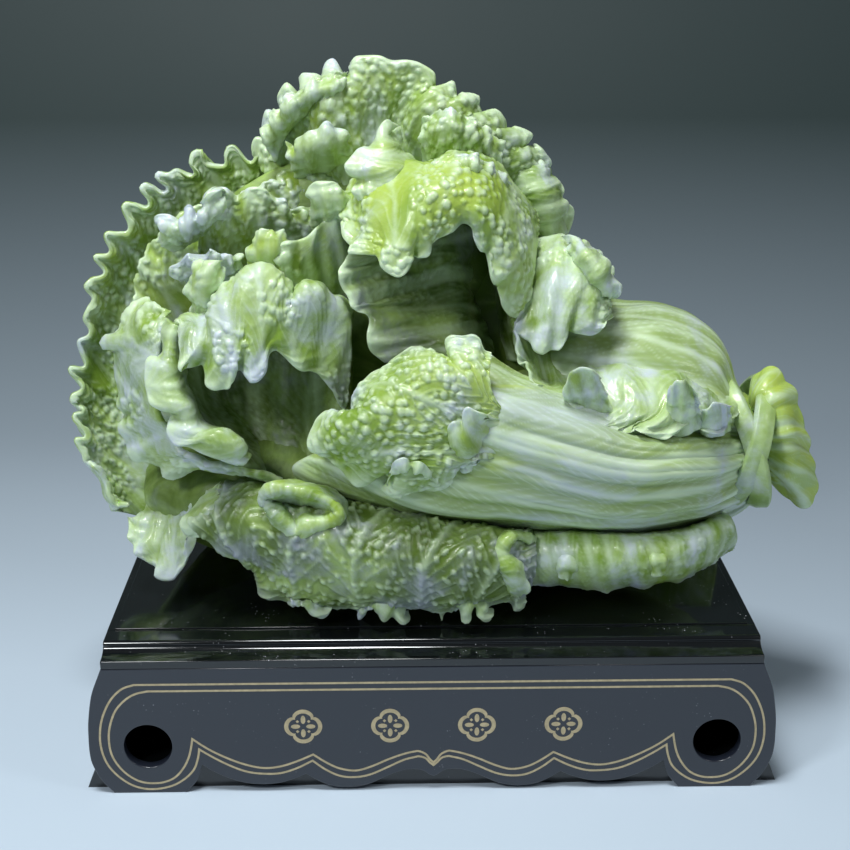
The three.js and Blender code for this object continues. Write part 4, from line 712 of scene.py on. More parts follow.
@made_once
def black_lacquer_finish(name):
    return lacquer(name, tuple(finishes().black_lacquer), 0.05, 0.9)


@made_once
# The panels' and ends' dark lacquer, its blue tint a painted reflection of the floor.
def dark_lacquer_painted_blue_finish(name):
    return lacquer(name, tuple(finishes().navy_lacquer), 0.28, 0.35)


@made_once
def gold_finish(name):
    """Pale gold paint, slightly worn and uneven."""
    colours = finishes()
    finish = Finish(name, metallic=0.35)
    where = finish.places()
    worn = finish.noise(where, 260.0, 5.0, 0.7)
    body = finish.mix(worn.between(0.3, 0.7), tuple(0.72 * part for part in colours.gold), colours.gold)
    return finish.surface(body, 0.36 + worn * 0.2, finish.bump(worn, 0.0001, 0.4))


@made_once
def wood_finish(name):
    """Sawn softwood with its grain along the stick."""
    colours = finishes()
    finish = Finish(name)
    where = finish.places()
    grain = finish.noise(finish.stretched(where, (6.0, 190.0, 190.0)), 1.0, 6.0, 0.65, 0.4)
    body = finish.mix(grain.between(0.3, 0.72), tuple(0.55 * part for part in colours.wood), colours.wood)
    return finish.surface(body, 0.65 + grain * 0.2, finish.bump(grain, 0.0004, 0.5))


@made_once
def steel_finish(name):
    """Zinc plated steel, finely scratched by the driver."""
    colours = finishes()
    finish = Finish(name, metallic=1.0)
    where = finish.places()
    scratches = finish.noise(finish.stretched(where, (60.0, 900.0, 900.0)), 1.0, 4.0, 0.7)
    body = finish.mix(scratches, tuple(0.7 * part for part in colours.steel), colours.steel)
    return finish.surface(body, 0.28 + scratches * 0.2, finish.bump(scratches, 0.00005, 0.4))


@made_once
def floor_finish(name):
    """The plain pale table top, and a backdrop that darkens to grey green above it."""
    finish = Finish(name)
    where = finish.places()
    soft = finish.noise(where, 3.0, 3.0)
    height = finish.add("ShaderNodeSeparateXYZ", None, {0: where}, "Z")
    depth = finish.add("ShaderNodeSeparateXYZ", None, {0: where}, "Y")
    base = tuple(finishes().floor)
    body = finish.mix(soft * 0.12, base, tuple(0.9 * part for part in base))
    body = finish.mix((depth * 0.9 + height * 0.8 - 0.05).clamped(), body, finishes().backdrop)
    return finish.surface(body, 0.55 + soft * 0.1)


# The leaves as they are seen: [across, down, depth] points, from where a leaf grows to its edge

LEAF_NETS = {
    "front_stem": [
        [[.75, .492, .52], [.754, .479, .46], [.755, .464, .44], [.754, .45, .45], [.75, .436, .5]],
        [[.733, .507, .46], [.737, .49, .37], [.738, .468, .34], [.737, .448, .35], [.733, .43, .42]],
        [[.69, .522, .4], [.695, .502, .22], [.697, .476, .16], [.697, .45, .18], [.693, .43, .3]],
        [[.62, .533, .34], [.625, .512, .12], [.63, .48, .05], [.635, .45, .07], [.64, .425, .2]],
        [[.53, .532, .32], [.535, .505, .1], [.54, .468, .03], [.56, .43, .04], [.578, .402, .18]],
        [[.43, .52, .3], [.42, .495, .1], [.44, .455, .07], [.482, .405, .07], [.52, .38, .2]],
        [[.33, .49, .27], [.292, .468, .2], [.34, .44, .16], [.42, .39, .16], [.486, .352, .26]],
    ],
    "front_leaf": [
        [[.508, .455, .05], [.505, .452, .04], [.502, .447, .03], [.5, .442, .03], [.5, .437, .03],
            [.5, .432, .03], [.502, .428, .03], [.505, .422, .04], [.508, .418, .06]],
        [[.485, .45, .02], [.455, .462, 0], [.42, .462, -.02], [.385, .45, -.03], [.37, .428, -.03],
            [.395, .405, -.02], [.43, .385, 0], [.462, .375, .02], [.49, .385, .03]],
        [[.475, .458, .04], [.43, .487, .05], [.385, .487, .06], [.34, .468, .08], [.316, .435, .1],
            [.35, .395, .1], [.4, .355, .12], [.45, .34, .14], [.49, .35, .1]],
    ],
    "bottom_leaf": [
        [[.21, .49, .45], [.25, .48, .42], [.338, .5, .4], [.42, .515, .4], [.49, .527, .4], [.532, .532, .4]],
        [[.205, .5, .26], [.25, .49, .2], [.338, .508, .14], [.42, .521, .13], [.49, .532, .14], [.532, .536, .17]],
        [[.19, .52, .18], [.252, .52, .08], [.335, .54, .02], [.42, .555, 0], [.49, .558, .02], [.534, .555, .1]],
        [[.205, .54, .18], [.258, .56, .1], [.33, .585, .04], [.42, .592, .02], [.485, .59, .04], [.53, .582, .12]],
        [[.238, .545, .24], [.264, .585, .2], [.32, .606, .14], [.4, .612, .1], [.465, .612, .1], [.52, .602, .15]],
    ],
    "bottom_lip": [
        [[.29, .513, .2], [.295, .512, .2], [.3, .514, .2], [.302, .516, .2],
            [.298, .518, .2], [.294, .518, .2], [.29, .516, .2], [.29, .513, .2]],
        [[.272, .499, .09], [.3, .495, .08], [.325, .503, .08], [.33, .511, .07],
            [.32, .516, .06], [.295, .521, .06], [.283, .511, .07], [.273, .501, .09]],
        [[.266, .493, .05], [.298, .488, .03], [.332, .499, .03], [.338, .511, .03],
            [.326, .521, .02], [.294, .528, .02], [.278, .513, .03], [.267, .496, .05]],
        [[.262, .494, .13], [.298, .484, .13], [.338, .496, .13], [.346, .512, .1],
            [.33, .528, .06], [.292, .538, .05], [.27, .518, .09], [.263, .496, .13]],
    ],
    "bottom_frill": [
        [[.53, .532, .4], [.575, .536, .4], [.63, .539, .4], [.685, .535, .42], [.722, .518, .45]],
        [[.525, .538, .2], [.575, .541, .14], [.63, .544, .13], [.685, .54, .17], [.728, .522, .3]],
        [[.528, .56, .14], [.575, .564, .08], [.63, .566, .08], [.685, .562, .14], [.732, .535, .3]],
        [[.532, .58, .22], [.575, .587, .2], [.625, .586, .2], [.68, .577, .24], [.726, .55, .38]],
    ],
    "left_low_leaf": [
        [[.15, .5, .5], [.162, .5, .48], [.176, .492, .46], [.192, .486, .42], [.215, .48, .38]],
        [[.134, .518, .46], [.15, .532, .4], [.168, .535, .36], [.184, .525, .34], [.2, .506, .32]],
        [[.127, .514, .46], [.135, .546, .4], [.158, .574, .32], [.184, .57, .28], [.193, .531, .28]],
    ],
    "back_left_leaf": [
        [[.2, .52, .6], [.195, .46, .62], [.19, .4, .64], [.195, .35, .66], [.205, .3, .68],
            [.22, .26, .7], [.245, .23, .72], [.29, .2, .76]],
        [[.14, .515, .64], [.13, .46, .68], [.125, .4, .7], [.13, .34, .73], [.145, .285, .75],
            [.175, .24, .77], [.21, .21, .78], [.26, .185, .79]],
        [[.115, .51, .58], [.096, .46, .6], [.09, .4, .64], [.097, .33, .68], [.117, .265, .7],
            [.152, .21, .72], [.205, .175, .75], [.26, .165, .77]],
        [[.112, .525, .5], [.084, .47, .52], [.077, .4, .56], [.084, .335, .6], [.102, .257, .62],
            [.146, .192, .65], [.2, .157, .7], [.262, .15, .74]],
    ],
    "back_top_leaf": [
        [[.33, .25, .76], [.35, .235, .72], [.375, .225, .7], [.4, .22, .72],
            [.43, .22, .68], [.46, .23, .7], [.485, .245, .74], [.505, .265, .78]],
        [[.29, .2, .74], [.31, .15, .66], [.335, .118, .56], [.39, .12, .66],
            [.432, .115, .56], [.478, .145, .58], [.515, .18, .64], [.545, .24, .74]],
        [[.256, .152, .76], [.275, .102, .7], [.315, .072, .64], [.37, .058, .6],
            [.432, .074, .6], [.49, .11, .64], [.54, .152, .7], [.568, .228, .78]],
    ],
    "left_back_leaf": [
        [[.23, .38, .7], [.25, .33, .7], [.28, .3, .7], [.31, .28, .7], [.34, .26, .7], [.375, .24, .7]],
        [[.172, .34, .66], [.19, .285, .62], [.235, .242, .62], [.282, .222, .62], [.322, .2, .64], [.36, .185, .66]],
        [[.13, .31, .6], [.145, .248, .6], [.195, .205, .6], [.25, .188, .6], [.295, .165, .64], [.35, .135, .68]],
    ],
    "left_mid_leaf": [
        [[.205, .28, .58], [.225, .275, .58], [.245, .265, .6], [.265, .255, .6], [.29, .25, .6], [.33, .25, .6]],
        [[.2, .25, .52], [.212, .235, .49], [.232, .222, .48], [.258, .217, .5], [.29, .222, .53], [.322, .222, .56]],
        [[.2, .222, .49], [.206, .195, .46], [.225, .188, .46], [.258, .188, .48], [.288, .2, .52], [.315, .205, .56]],
    ],
    "left_inner_leaf": [
        [[.272, .305, .46], [.28, .305, .46], [.292, .303, .46], [.305, .305, .46], [.325, .305, .48], [.35, .3, .5]],
        [[.27, .285, .38], [.278, .275, .36], [.288, .268, .35], [.3, .265, .37], [.322, .255, .4], [.348, .25, .44]],
        [[.27, .27, .35], [.272, .258, .34], [.281, .246, .33], [.3, .24, .35], [.32, .225, .38], [.341, .212, .42]],
    ],
    "left_leaf": [
        [[.15, .299, .5], [.125, .32, .5], [.112, .347, .5], [.118, .39, .46], [.122, .428, .42], [.146, .46, .36],
            [.177, .475, .28], [.225, .473, .24], [.28, .483, .22]],
        [[.158, .304, .4], [.142, .328, .36], [.138, .36, .36], [.138, .4, .36], [.15, .43, .32], [.172, .452, .26],
            [.2, .463, .2], [.24, .468, .2], [.282, .48, .2]],
        [[.168, .31, .34], [.166, .335, .3], [.158, .362, .26], [.155, .395, .24], [.168, .425, .22], [.185, .45, .18],
            [.21, .46, .16], [.245, .467, .16], [.284, .48, .19]],
    ],
    "left_roll": [
        [[.182, .33, .36], [.184, .35, .36], [.182, .375, .34], [.19, .4, .32], [.202, .425, .28], [.226, .445, .24],
            [.248, .46, .22]],
        [[.177, .326, .22], [.172, .35, .18], [.173, .378, .14], [.184, .404, .11], [.2, .43, .08], [.228, .436, .06],
            [.246, .463, .1]],
        [[.168, .318, .28], [.164, .345, .24], [.15, .362, .17], [.15, .402, .13], [.169, .43, .1], [.195, .45, .07],
            [.236, .463, .1]],
    ],
    "hollow_leaf": [
        [[.165, .335, .34], [.22, .34, .46], [.29, .35, .44], [.352, .36, .34]],
        [[.165, .39, .26], [.225, .4, .5], [.29, .4, .46], [.352, .4, .3]],
        [[.19, .43, .22], [.25, .44, .46], [.3, .44, .4], [.352, .44, .26]],
        [[.24, .464, .2], [.285, .482, .36], [.32, .488, .3], [.352, .482, .22]],
    ],
    "left_flap": [
        [[.215, .3, .5], [.228, .293, .48], [.245, .29, .46], [.262, .29, .46],
            [.278, .298, .46], [.296, .3, .46], [.322, .3, .46], [.352, .31, .46]],
        [[.192, .306, .3], [.21, .305, .22], [.23, .298, .2], [.25, .29, .19],
            [.268, .298, .19], [.288, .294, .19], [.318, .29, .21], [.352, .302, .28]],
        [[.18, .318, .22], [.2, .338, .14], [.225, .342, .1], [.245, .338, .1],
            [.262, .336, .11], [.285, .332, .14], [.316, .338, .19], [.35, .352, .26]],
        [[.178, .33, .19], [.184, .372, .12], [.21, .388, .09], [.235, .378, .09],
            [.256, .382, .1], [.277, .36, .14], [.312, .376, .2], [.346, .41, .28]],
    ],
    "hood_leaf": [
        [[.36, .2, .7], [.385, .19, .68], [.405, .19, .66], [.43, .2, .66],
            [.46, .2, .68], [.485, .205, .7], [.505, .23, .72], [.52, .26, .74]],
        [[.352, .185, .5], [.378, .165, .46], [.402, .162, .42], [.428, .168, .4],
            [.458, .155, .44], [.49, .165, .5], [.515, .19, .56], [.532, .22, .6]],
        [[.345, .205, .38], [.372, .2, .26], [.398, .196, .2], [.425, .188, .18],
            [.455, .178, .2], [.496, .196, .24], [.522, .225, .32], [.535, .25, .4]],
        [[.343, .222, .32], [.372, .235, .18], [.396, .24, .1], [.424, .22, .11],
            [.45, .2, .14], [.488, .222, .15], [.512, .26, .2], [.528, .29, .3]],
        [[.345, .24, .3], [.378, .262, .14], [.397, .278, .08], [.425, .252, .11],
            [.447, .222, .15], [.476, .246, .15], [.495, .282, .18], [.514, .318, .26]],
    ],
    "hood_hollow_leaf": [
        [[.472, .222, .62], [.47, .275, .62], [.474, .305, .6], [.482, .325, .54], [.492, .354, .46]],
        [[.448, .222, .57], [.45, .266, .5], [.455, .3, .46], [.462, .33, .4], [.472, .358, .35]],
        [[.41, .23, .52], [.41, .27, .48], [.418, .305, .44], [.428, .336, .34], [.44, .36, .28]],
        [[.352, .252, .28], [.337, .276, .24], [.354, .312, .22], [.367, .335, .21], [.385, .363, .22]],
    ],
    "slit_leaf": [
        [[.45, .215, .64], [.47, .225, .66], [.49, .235, .64], [.515, .25, .52]],
        [[.452, .26, .66], [.472, .265, .68], [.49, .275, .66], [.512, .29, .48]],
        [[.46, .3, .62], [.476, .305, .6], [.494, .32, .62], [.518, .325, .44]],
        [[.47, .35, .5], [.486, .355, .5], [.502, .36, .54], [.522, .362, .4]],
    ],
    "right_leaf": [
        [[.535, .252, .7], [.555, .257, .72], [.58, .262, .7], [.6, .282, .68]],
        [[.536, .243, .5], [.56, .24, .5], [.588, .25, .5], [.612, .275, .5]],
        [[.53, .275, .4], [.556, .272, .34], [.59, .28, .34], [.616, .29, .42]],
        [[.52, .312, .32], [.55, .312, .26], [.582, .312, .27], [.612, .31, .36]],
        [[.514, .327, .29], [.545, .352, .24], [.572, .337, .26], [.6, .33, .33]],
    ],
    "right_low_leaf": [
        [[.512, .318, .42], [.548, .332, .48], [.59, .345, .48], [.63, .358, .42],
            [.67, .362, .4], [.7, .372, .4], [.736, .396, .44]],
        [[.516, .34, .3], [.55, .362, .38], [.592, .372, .32], [.63, .382, .25],
            [.67, .388, .24], [.7, .398, .27], [.736, .41, .36]],
        [[.52, .352, .27], [.546, .385, .28], [.59, .402, .2], [.63, .408, .16],
            [.667, .414, .15], [.7, .414, .2], [.735, .418, .32]],
        [[.52, .362, .24], [.545, .405, .18], [.59, .431, .12], [.63, .428, .1],
            [.665, .44, .1], [.7, .43, .15], [.735, .424, .27]],
    ],
    "back_stem": [
        [[.755, .435, .62], [.756, .415, .56], [.755, .415, .48], [.752, .43, .42]],
        [[.732, .42, .66], [.734, .396, .55], [.733, .404, .44], [.73, .428, .34]],
        [[.7, .37, .8], [.713, .342, .62], [.712, .366, .42], [.705, .41, .29]],
        [[.655, .35, .86], [.67, .312, .66], [.665, .342, .41], [.66, .402, .27]],
        [[.6, .34, .86], [.615, .306, .68], [.608, .336, .43], [.605, .398, .29]],
        [[.54, .32, .86], [.56, .296, .68], [.552, .326, .46], [.548, .388, .32]],
    ],
    "rear_leaf": [
        [[.56, .54, .8], [.45, .57, .9], [.33, .57, .92], [.22, .545, .86], [.15, .5, .7]],
        [[.6, .42, .84], [.47, .43, 1], [.33, .43, 1.03], [.2, .43, .96], [.12, .42, .72]],
        [[.57, .3, .82], [.46, .28, .98], [.33, .27, 1.02], [.22, .28, .94], [.14, .3, .76]],
        [[.535, .21, .78], [.45, .13, .86], [.34, .115, .9], [.25, .16, .88], [.17, .22, .8]],
    ],
    "rear_low_leaf": [
        [[.72, .47, .86], [.6, .46, .94], [.48, .47, .98], [.36, .48, 1]],
        [[.72, .52, .84], [.6, .53, .94], [.47, .54, .98], [.34, .53, .98]],
        [[.7, .55, .76], [.59, .575, .84], [.46, .585, .88], [.33, .575, .88]],
    ],
}

SMALL_NETS = {
    "grey_curl": [
        [[.163, .24, .54], [.175, .248, .52], [.195, .237, .5], [.212, .226, .5], [.224, .212, .5]],
        [[.16, .232, .44], [.176, .234, .4], [.194, .224, .38], [.209, .214, .38], [.222, .202, .42]],
        [[.16, .228, .45], [.17, .215, .42], [.19, .209, .4], [.205, .205, .38], [.218, .192, .43]],
    ],
    "bead_tuft": [
        [[.19, .292, .5], [.207, .294, .5], [.226, .29, .5], [.242, .28, .5]],
        [[.18, .277, .42], [.2, .27, .4], [.22, .264, .4], [.242, .26, .42]],
        [[.171, .27, .4], [.19, .254, .38], [.214, .242, .38], [.24, .239, .42]],
    ],
    "left_lobe": [
        [[.2, .323, .36], [.205, .324, .35], [.21, .322, .35]],
        [[.192, .305, .32], [.205, .303, .28], [.216, .302, .3]],
        [[.187, .29, .3], [.205, .285, .25], [.222, .285, .28]],
        [[.192, .274, .3], [.206, .268, .26], [.223, .27, .29]],
        [[.2, .266, .32], [.211, .261, .29], [.219, .263, .3]],
    ],
    "tall_lobe": [
        [[.249, .275, .42], [.27, .278, .42], [.29, .275, .42]],
        [[.247, .258, .35], [.27, .256, .32], [.289, .256, .36]],
        [[.249, .244, .34], [.27, .24, .3], [.289, .244, .35]],
        [[.256, .233, .35], [.269, .228, .32], [.282, .233, .36]],
    ],
    "crease_lobe": [
        [[.3, .335, .28], [.32, .338, .28], [.343, .336, .3]],
        [[.301, .312, .2], [.321, .31, .17], [.343, .313, .22]],
        [[.305, .294, .19], [.321, .287, .16], [.339, .297, .21]],
    ],
    "white_spike": [
        [[.262, .34, .22], [.276, .342, .2], [.29, .338, .24]],
        [[.266, .315, .14], [.277, .312, .11], [.288, .315, .16]],
        [[.272, .294, .14], [.278, .286, .12], [.285, .294, .16]],
    ],
    "crown_left_leaf": [
        [[.408, .126, .52], [.428, .148, .46], [.438, .17, .38], [.43, .195, .3]],
        [[.382, .128, .44], [.388, .15, .34], [.392, .174, .28], [.396, .204, .24]],
        [[.388, .121, .44], [.357, .15, .36], [.353, .18, .3], [.372, .21, .26]],
    ],
    "crown_right_leaf": [
        [[.44, .21, .4], [.46, .21, .4], [.485, .215, .42], [.506, .225, .46]],
        [[.436, .18, .3], [.457, .17, .28], [.482, .174, .3], [.507, .195, .36]],
        [[.434, .158, .32], [.453, .152, .3], [.482, .158, .32], [.51, .182, .4]],
    ],
    "crown_bead_leaf": [
        [[.424, .18, .54], [.446, .175, .52], [.472, .178, .54], [.5, .19, .58]],
        [[.42, .142, .48], [.445, .132, .45], [.475, .14, .47], [.503, .16, .52]],
        [[.42, .122, .5], [.445, .108, .48], [.475, .12, .5], [.506, .145, .55]],
    ],
    "crown_upper_frill": [
        [[.295, .178, .6], [.31, .172, .6], [.33, .168, .58], [.357, .16, .6]],
        [[.288, .156, .54], [.305, .15, .5], [.328, .145, .49], [.352, .148, .52]],
        [[.284, .141, .54], [.303, .135, .51], [.326, .123, .5], [.348, .137, .53]],
    ],
    "crown_lower_frill": [
        [[.31, .228, .46], [.335, .23, .44], [.362, .222, .46]],
        [[.31, .207, .36], [.335, .202, .33], [.359, .202, .36]],
        [[.312, .188, .37], [.333, .181, .34], [.355, .19, .38]],
    ],
    "crown_outer_frill": [
        [[.272, .165, .66], [.285, .135, .64], [.31, .11, .62], [.34, .1, .6]],
        [[.266, .145, .6], [.285, .115, .56], [.313, .095, .54], [.345, .086, .54]],
        [[.262, .13, .62], [.286, .1, .58], [.316, .08, .56], [.35, .07, .58]],
    ],
    "right_flank": [
        [[.505, .165, .6], [.512, .19, .6], [.515, .215, .6], [.515, .245, .62]],
        [[.53, .16, .62], [.54, .185, .6], [.545, .21, .6], [.545, .24, .64]],
        [[.545, .155, .7], [.558, .185, .7], [.566, .21, .7], [.562, .24, .72]],
    ],
    "right_curl": [
        [[.565, .25, .46], [.571, .262, .42], [.577, .277, .4], [.585, .29, .4], [.6, .298, .4]],
        [[.57, .243, .38], [.584, .255, .32], [.596, .27, .29], [.603, .282, .3], [.606, .292, .33]],
        [[.563, .239, .42], [.58, .24, .38], [.602, .256, .35], [.616, .28, .34], [.604, .291, .34]],
    ],
    "right_hanging_lobe": [
        [[.574, .428, .15], [.592, .434, .13], [.608, .43, .14], [.622, .424, .17]],
        [[.566, .408, .12], [.582, .404, .13], [.598, .402, .13], [.612, .406, .13]],
        [[.562, .39, .07], [.572, .373, .05], [.588, .366, .05], [.602, .378, .08]],
    ],
    "lilac_lobe": [
        [[.664, .434, .13], [.678, .436, .13], [.692, .43, .14], [.702, .424, .16]],
        [[.666, .412, .12], [.678, .41, .13], [.69, .41, .13], [.7, .412, .14]],
        [[.668, .39, .07], [.677, .379, .06], [.688, .382, .07], [.698, .396, .1]],
    ],
    "neck_lobe": [
        [[.7, .434, .17], [.715, .436, .17], [.731, .428, .24]],
        [[.7, .42, .17], [.715, .42, .17], [.731, .416, .23]],
        [[.702, .41, .13], [.716, .402, .12], [.73, .405, .2]],
    ],
    "front_curl": [
        [[.47, .464, .03], [.482, .454, .03], [.49, .442, .03], [.497, .432, .03], [.502, .42, .04]],
        [[.459, .464, -.01], [.466, .448, -.03], [.471, .433, -.03], [.479, .42, -.02], [.493, .412, 0]],
        [[.449, .462, -.02], [.455, .443, -.03], [.452, .427, -.04], [.463, .41, -.03], [.486, .404, 0]],
    ],
    "front_low_curl": [
        [[.388, .462, .02], [.404, .456, .02], [.42, .458, .02], [.436, .466, .02]],
        [[.386, .475, -.01], [.402, .466, -.035], [.42, .468, -.035], [.438, .478, -.01]],
        [[.389, .49, -.02], [.404, .478, -.04], [.418, .481, -.04], [.434, .489, -.02]],
    ],
    "low_frill_left": [
        [[.288, .592, .2], [.3, .6, .18], [.318, .602, .16]],
        [[.288, .6, .12], [.304, .604, .09], [.322, .606, .09]],
        [[.292, .605, .14], [.308, .611, .1], [.327, .614, .1]],
    ],
    "low_frill_middle": [
        [[.36, .602, .16], [.382, .602, .14], [.405, .602, .14]],
        [[.357, .611, .08], [.382, .604, .05], [.407, .61, .07]],
        [[.36, .621, .09], [.382, .609, .07], [.405, .62, .08]],
    ],
    "low_frill_right": [
        [[.442, .6, .16], [.464, .6, .14], [.487, .598, .14]],
        [[.439, .609, .08], [.464, .602, .05], [.489, .606, .07]],
        [[.442, .62, .09], [.464, .608, .07], [.487, .617, .08]],
    ],
    "low_right_curl": [
        [[.535, .536, .16], [.51, .533, .12], [.495, .55, .1], [.499, .575, .08], [.512, .599, .1]],
        [[.536, .539, .12], [.513, .537, .05], [.501, .552, .03], [.512, .575, .01], [.516, .598, .06]],
        [[.535, .541, .16], [.515, .543, .1], [.511, .557, .08], [.526, .572, .05], [.516, .598, .08]],
    ],
    "keel_lobe_a": [
        [[.563, .538, .2], [.571, .539, .19], [.58, .54, .19]],
        [[.558, .556, .11], [.568, .557, .07], [.58, .558, .09]],
        [[.557, .571, .1], [.567, .581, .07], [.577, .575, .1]],
    ],
    "keel_lobe_b": [
        [[.64, .543, .2], [.656, .543, .18], [.674, .542, .2]],
        [[.643, .556, .1], [.658, .558, .06], [.674, .557, .1]],
        [[.65, .567, .1], [.66, .577, .07], [.672, .568, .1]],
    ],
    "left_margin_lobe": [
        [[.226, .482, .3], [.238, .5, .24], [.242, .52, .2], [.244, .54, .2]],
        [[.216, .49, .26], [.212, .506, .17], [.22, .517, .15], [.238, .535, .16]],
        [[.221, .481, .28], [.19, .511, .2], [.2, .534, .18], [.234, .548, .18]],
    ],
}


# Lines followed closely along a leaf: [across, down] points along one row of its net, in picture thousandths

